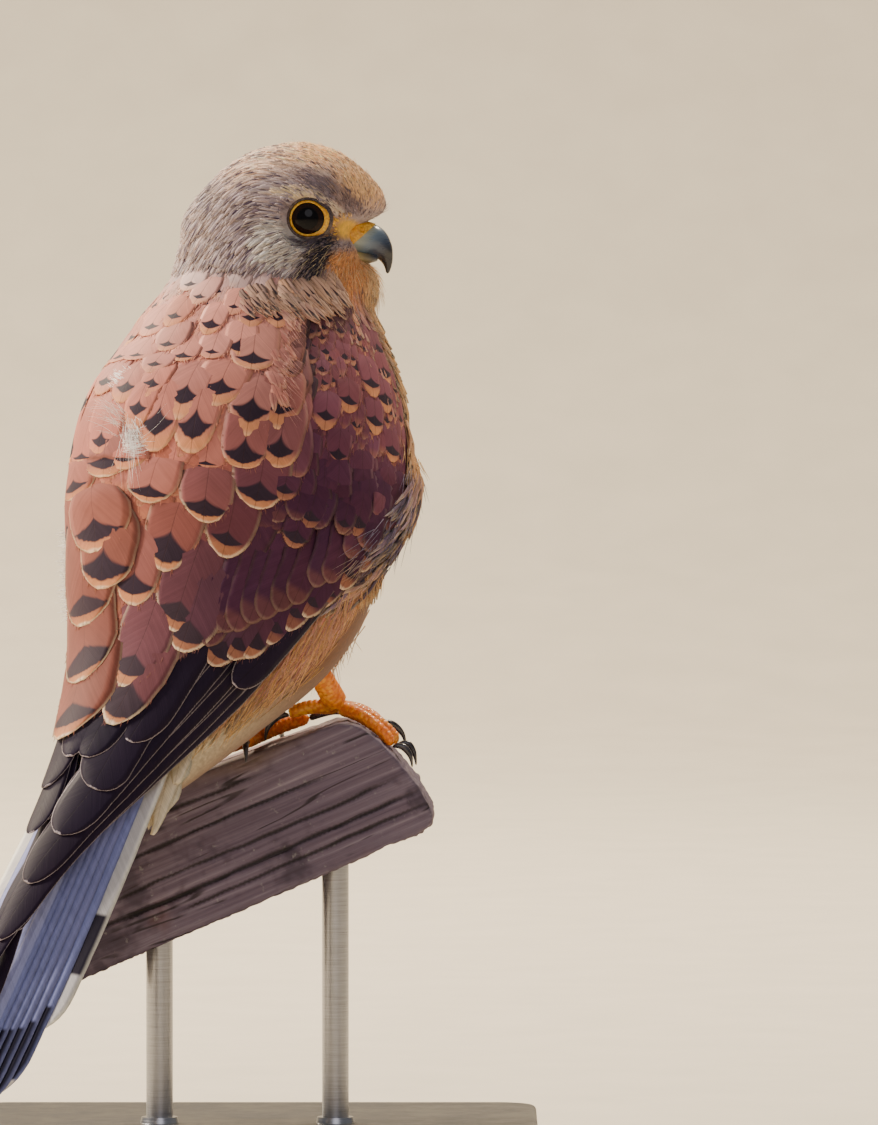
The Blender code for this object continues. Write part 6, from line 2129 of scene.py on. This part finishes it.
def perch(finish_used):
    """A weathered sawn rail with drying cracks, raised grain and a worn, rounded end."""
    bm = bmesh.new()
    front = [bm.verts.new((x * MM, -RAIL_THICK / 2, z * MM)) for x, z in RAIL_PROFILE]
    face = bm.faces.new(front)
    made = bmesh.ops.extrude_face_region(bm, geom=[face])
    back = [g for g in made["geom"] if isinstance(g, bmesh.types.BMVert)]
    bmesh.ops.translate(bm, verts=back, vec=(0, RAIL_THICK, 0))
    bmesh.ops.bevel(bm, geom=bm.edges[:], offset=1.2 * MM, segments=2, affect="EDGES",
                    profile=0.5)
    piece = merge("timber_rail", [bm], 0.58 * MM, 2)
    points = points_of(piece.data)
    normals = np.empty(len(points) * 3, np.float32)
    piece.data.vertices.foreach_get("normal", normals)
    normals = normals.reshape(-1, 3).astype(float)
    c, s = math.cos(RAIL_TURN), math.sin(RAIL_TURN)
    dx, dz = points[:, 0] - RAIL_FOOT[0], points[:, 2] - RAIL_FOOT[1]
    along, high = dx * c + dz * s, dz * c - dx * s
    local = np.stack([along * 0.07, points[:, 1], high], axis=1)
    sides = np.abs(normals[:, 1])
    grain = lattice_noise(local, 1.1 * MM, 3) * 0.5 + lattice_noise(local, 2.6 * MM, 4)
    rough = lattice_noise(points, 1.4 * MM, 5)
    lump = lattice_noise(points, 7.0 * MM, 6)
    push = -0.12 + 0.07 * grain + 0.06 * rough + 0.1 * lump
    end = ease(84 * MM, 100 * MM, along) * (1 - sides)
    push = push + end * (0.35 * rough + 0.3 * lump - 0.3)
    foot = ease(3 * MM, 0.5 * MM, high) * (1 - sides * 0.5)
    push = push + foot * (0.25 * rough - 0.1)
    crack = np.zeros(len(points))
    for k, (level, width, depth, start, stop) in enumerate(CRACKS):
        path = np.stack([along, 0 * along + 0.37 * k, 0 * along], axis=1)
        wander = lattice_noise(path, 22 * MM, 20 + k) * 0.6 * MM
        wander = wander + lattice_noise(path, 5 * MM, 40 + k) * 0.15 * MM
        gap = np.abs(high - level * MM - wander * (1 if k % 2 else -1))
        open_share = ease(start * MM, (start + 8) * MM, along) * ease(stop * MM,
                                                                      (stop - 14) * MM, along)
        width = width * MM * (0.6 + 0.5 * np.abs(lattice_noise(path, 9 * MM, 60 + k)))
        here = ease(1.5, 0.45, gap / np.maximum(width, 1e-6)) * open_share
        crack = np.maximum(crack, here)
        push = push - depth * here * (0.35 + 0.65 * sides)
    set_points(piece.data, points + normals * (push * MM)[:, None])
    top = ease(0.6, 0.9, normals[:, 2])
    perch_edge = np.hypot((points[:, 0] - 2 * MM) / 22, (high - 37.5 * MM) / 5) / MM
    wear = top * 0.35 + ease(1.2, 0.5, perch_edge + 0.35 * lump) * 0.9
    wear = np.clip(wear + end * 0.25 * (rough > 0), 0, 1)
    for label, values in (("crack", crack), ("wear", wear)):
        layer = piece.data.attributes.new(label, "FLOAT", "POINT")
        layer.data.foreach_set("value", values.astype(np.float32))
    dress(piece, finish_used, "perch_timber", "perch_rail")


def stand(paint, steel):
    bm = bmesh.new()
    bmesh.ops.create_cube(bm, size=1)
    bmesh.ops.scale(bm, verts=bm.verts, vec=(*BASE_SIZE, BASE_HEIGHT))
    bmesh.ops.translate(bm, verts=bm.verts, vec=(0, 0, BASE_HEIGHT / 2))
    upright = [e for e in bm.edges if abs(e.verts[0].co.z - e.verts[1].co.z) > BASE_HEIGHT / 2]
    bmesh.ops.bevel(bm, geom=upright, offset=BASE_CORNER, segments=16, affect="EDGES",
                    profile=0.5)
    rim = [e for e in bm.edges if all(v.co.z > BASE_HEIGHT * 0.9 for v in e.verts)]
    bmesh.ops.bevel(bm, geom=rim, offset=1.4 * MM, segments=5, affect="EDGES", profile=0.5)
    dress(add_piece("painted_base", bm, smooth=False), paint, "stand_paint", "stand_base")
    for x, top, word in zip(ROD_PLACES, ROD_TOPS, ("left", "right")):
        bm = bmesh.new()
        foot = BASE_HEIGHT - 3 * MM
        bmesh.ops.create_cone(bm, cap_ends=True, segments=56, radius1=ROD_RADIUS,
                              radius2=ROD_RADIUS, depth=top - foot)
        bmesh.ops.translate(bm, verts=bm.verts, vec=(x, 0, (top + foot) / 2))
        collar = bmesh.ops.create_cone(bm, cap_ends=True, segments=56,
                                       radius1=ROD_RADIUS + 1.6 * MM,
                                       radius2=ROD_RADIUS + 1.2 * MM, depth=1.6 * MM)["verts"]
        bmesh.ops.translate(bm, verts=collar, vec=(x, 0, BASE_HEIGHT + 0.7 * MM))
        piece = add_piece("steel_rod_" + word, bm, smooth=False)
        piece.data.shade_smooth()
        piece.data.set_sharp_from_angle(angle=math.radians(40))
        dress(piece, steel, "stand_steel", "stand_rod_" + word)


# Stage

TARGET = Vector((49.1, -13.0, 155.2)) * MM
CAMERA_AWAY = 3.0
CAMERA_RISE = math.radians(2.5)
VIEW_HEIGHT = 1125 * 0.26 * MM


def camera():
    data = bpy.data.cameras.new("view")
    data.sensor_width = 36.0
    data.lens = 36.0 * CAMERA_AWAY / VIEW_HEIGHT
    data.clip_end = 50.0
    made = bpy.data.objects.new("view", data)
    bpy.context.scene.collection.objects.link(made)
    away = Vector((0, -math.cos(CAMERA_RISE), math.sin(CAMERA_RISE)))
    made.location = TARGET + away * CAMERA_AWAY
    made.rotation_euler = (-away).to_track_quat("-Z", "Y").to_euler()
    bpy.context.scene.camera = made


def lamp(name, place, size, power, colour):
    data = bpy.data.lights.new(name, "AREA")
    data.shape, data.size, data.energy, data.color = "DISK", size, power, colour
    made = bpy.data.objects.new(name, data)
    bpy.context.scene.collection.objects.link(made)
    made.location = place
    aim = Vector((0, 0, 0.16)) - Vector(place)
    made.rotation_euler = aim.to_track_quat("-Z", "Y").to_euler()


def stage():
    """A pale floor that curves up into a backdrop, and soft lamps with a warm one behind."""
    bm = bmesh.new()
    bmesh.ops.create_grid(bm, x_segments=2, y_segments=48, size=1)

    def place(points):
        run = (points[:, 1] + 1) / 2 * 10 - 4.5
        bend = np.clip(run - 1.6, 0, 1.4) / 1.4 * math.pi / 2
        y = np.where(run < 1.6, run, 1.6 + 0.9 * np.sin(bend))
        z = np.where(run < 1.6, 0, 0.9 * (1 - np.cos(bend)) + np.maximum(run - 3.0, 0))
        return np.stack([points[:, 0] * 4, y, z], axis=1)

    reshape(bm, place)
    floor = add_piece("floor", bm, outward=False)
    floor.data.materials.append(stage_finish("pale_floor", tone(214, 204, 184), 0.9))
    lamp("key", (-1.5, 0.1, 1.2), 0.45, 55.0, (1.0, 0.88, 0.74))
    lamp("front", (0.2, -2.3, 1.3), 1.6, 12.0, (0.95, 0.91, 1.0))
    lamp("rim", (0.8, 1.1, 1.9), 0.5, 56.0, (1.0, 0.86, 0.68))
    lamp("back", (-1.2, 1.4, 1.2), 0.4, 66.0, (1.0, 0.86, 0.64))
    world = bpy.data.worlds.new("soft")
    world.use_nodes = True
    world.node_tree.nodes["Background"].inputs["Color"].default_value = (0.9, 0.92, 1.0, 1)
    world.node_tree.nodes["Background"].inputs["Strength"].default_value = 0.24
    bpy.context.scene.world = world


def build():
    pattern = feather_pattern()
    back = plumage_finish("back_plumage", pattern, Rim=PALE_RIM, Rim_width=1.0, Tip_share=0.7,
                          Tip=tone(230, 156, 100), Shaft_share=0.4, Rim_all_round=0.3)
    flight = plumage_finish("flight_plumage", pattern, Rim=tone(196, 184, 192), Rim_width=0.3,
                            Shaft=tone(28, 20, 24), Barbs=0.2, Rim_all_round=0.7)
    body = plumage_finish("body_plumage", pattern, Mark=tone(48, 38, 46), Rim=tone(242, 224, 190),
                          Rim_width=0.6, Shaft=tone(150, 110, 70), Shaft_share=0.3, Barbs=0.6)
    head = plumage_finish("head_plumage", pattern, Mark=tone(72, 58, 76), Rim=tone(228, 212, 196),
                          Pale_mark=tone(140, 126, 130), Rim_width=0.3, Shaft_share=0.1,
                          Barbs=0.4)
    tail = plumage_finish("tail_plumage", pattern, Rim=tone(222, 220, 214), Rim_width=0.6,
                          Shaft=tone(176, 174, 180), Shaft_share=0.3, Shaft_width=0.3,
                          bands=((-2.7, 0.0, tone(26, 24, 40)), (0.0, 9.0, tone(232, 226, 216))))
    edge = plumage_finish("tail_edge_plumage", pattern, Rim=tone(244, 240, 226), Rim_width=1.4,
                          Shaft=tone(190, 180, 160), Shaft_share=0.5, Rim_all_round=1.0,
                          bands=((-3.7, -1.5, tone(34, 30, 44)),))
    down = down_finish("down")
    skin_piece = dress(body_skin(), down, "body_plumage", "head", "neck", "torso")
    skin = Skin(skin_piece)
    head_feathers(skin, head)
    body_feathers(skin, body)
    for side, word in ((1, "right"), (-1, "left")):
        rng = np.random.default_rng(SEED + 3 + side)
        wing_body(side, down)
        flight_feathers(side, flight)
        coat = Coat()
        filler_feathers(coat, rng, side)
        great_coverts(coat, rng, side)
        marked_feathers(coat, rng, side)
        if side > 0:
            notch_feathers(coat, rng)
        dress(coat.piece("back_feathers_" + word), back, "wing_plumage", "wing_" + word)
        flank_feathers(side, body)
    tail_feathers(tail, edge, body)
    wing_strands(down)
    body_strands(skin, down)
    yellow = bare_skin_finish("cere_skin", tone(232, 172, 30), tone(190, 116, 14),
                              tone(246, 200, 70), 1500.0, 0.35)
    legs = bare_skin_finish("leg_skin", tone(255, 140, 0), tone(206, 84, 0),
                            tone(255, 184, 50), 900.0, 0.36)
    eyes(eye_finish())
    rim = bare_skin_finish("lid_skin", tone(70, 56, 56), tone(36, 28, 30), tone(120, 98, 84),
                           1500.0, 0.5)
    eye_rings(yellow, rim)
    bill(bill_finish(), lower_bill_finish(), yellow)
    for side in ("right", "left"):
        leg(side, legs)
    claws(claw_finish())
    perch(timber_finish())
    stand(paint_finish(), steel_finish())
    camera()
    stage()


build()
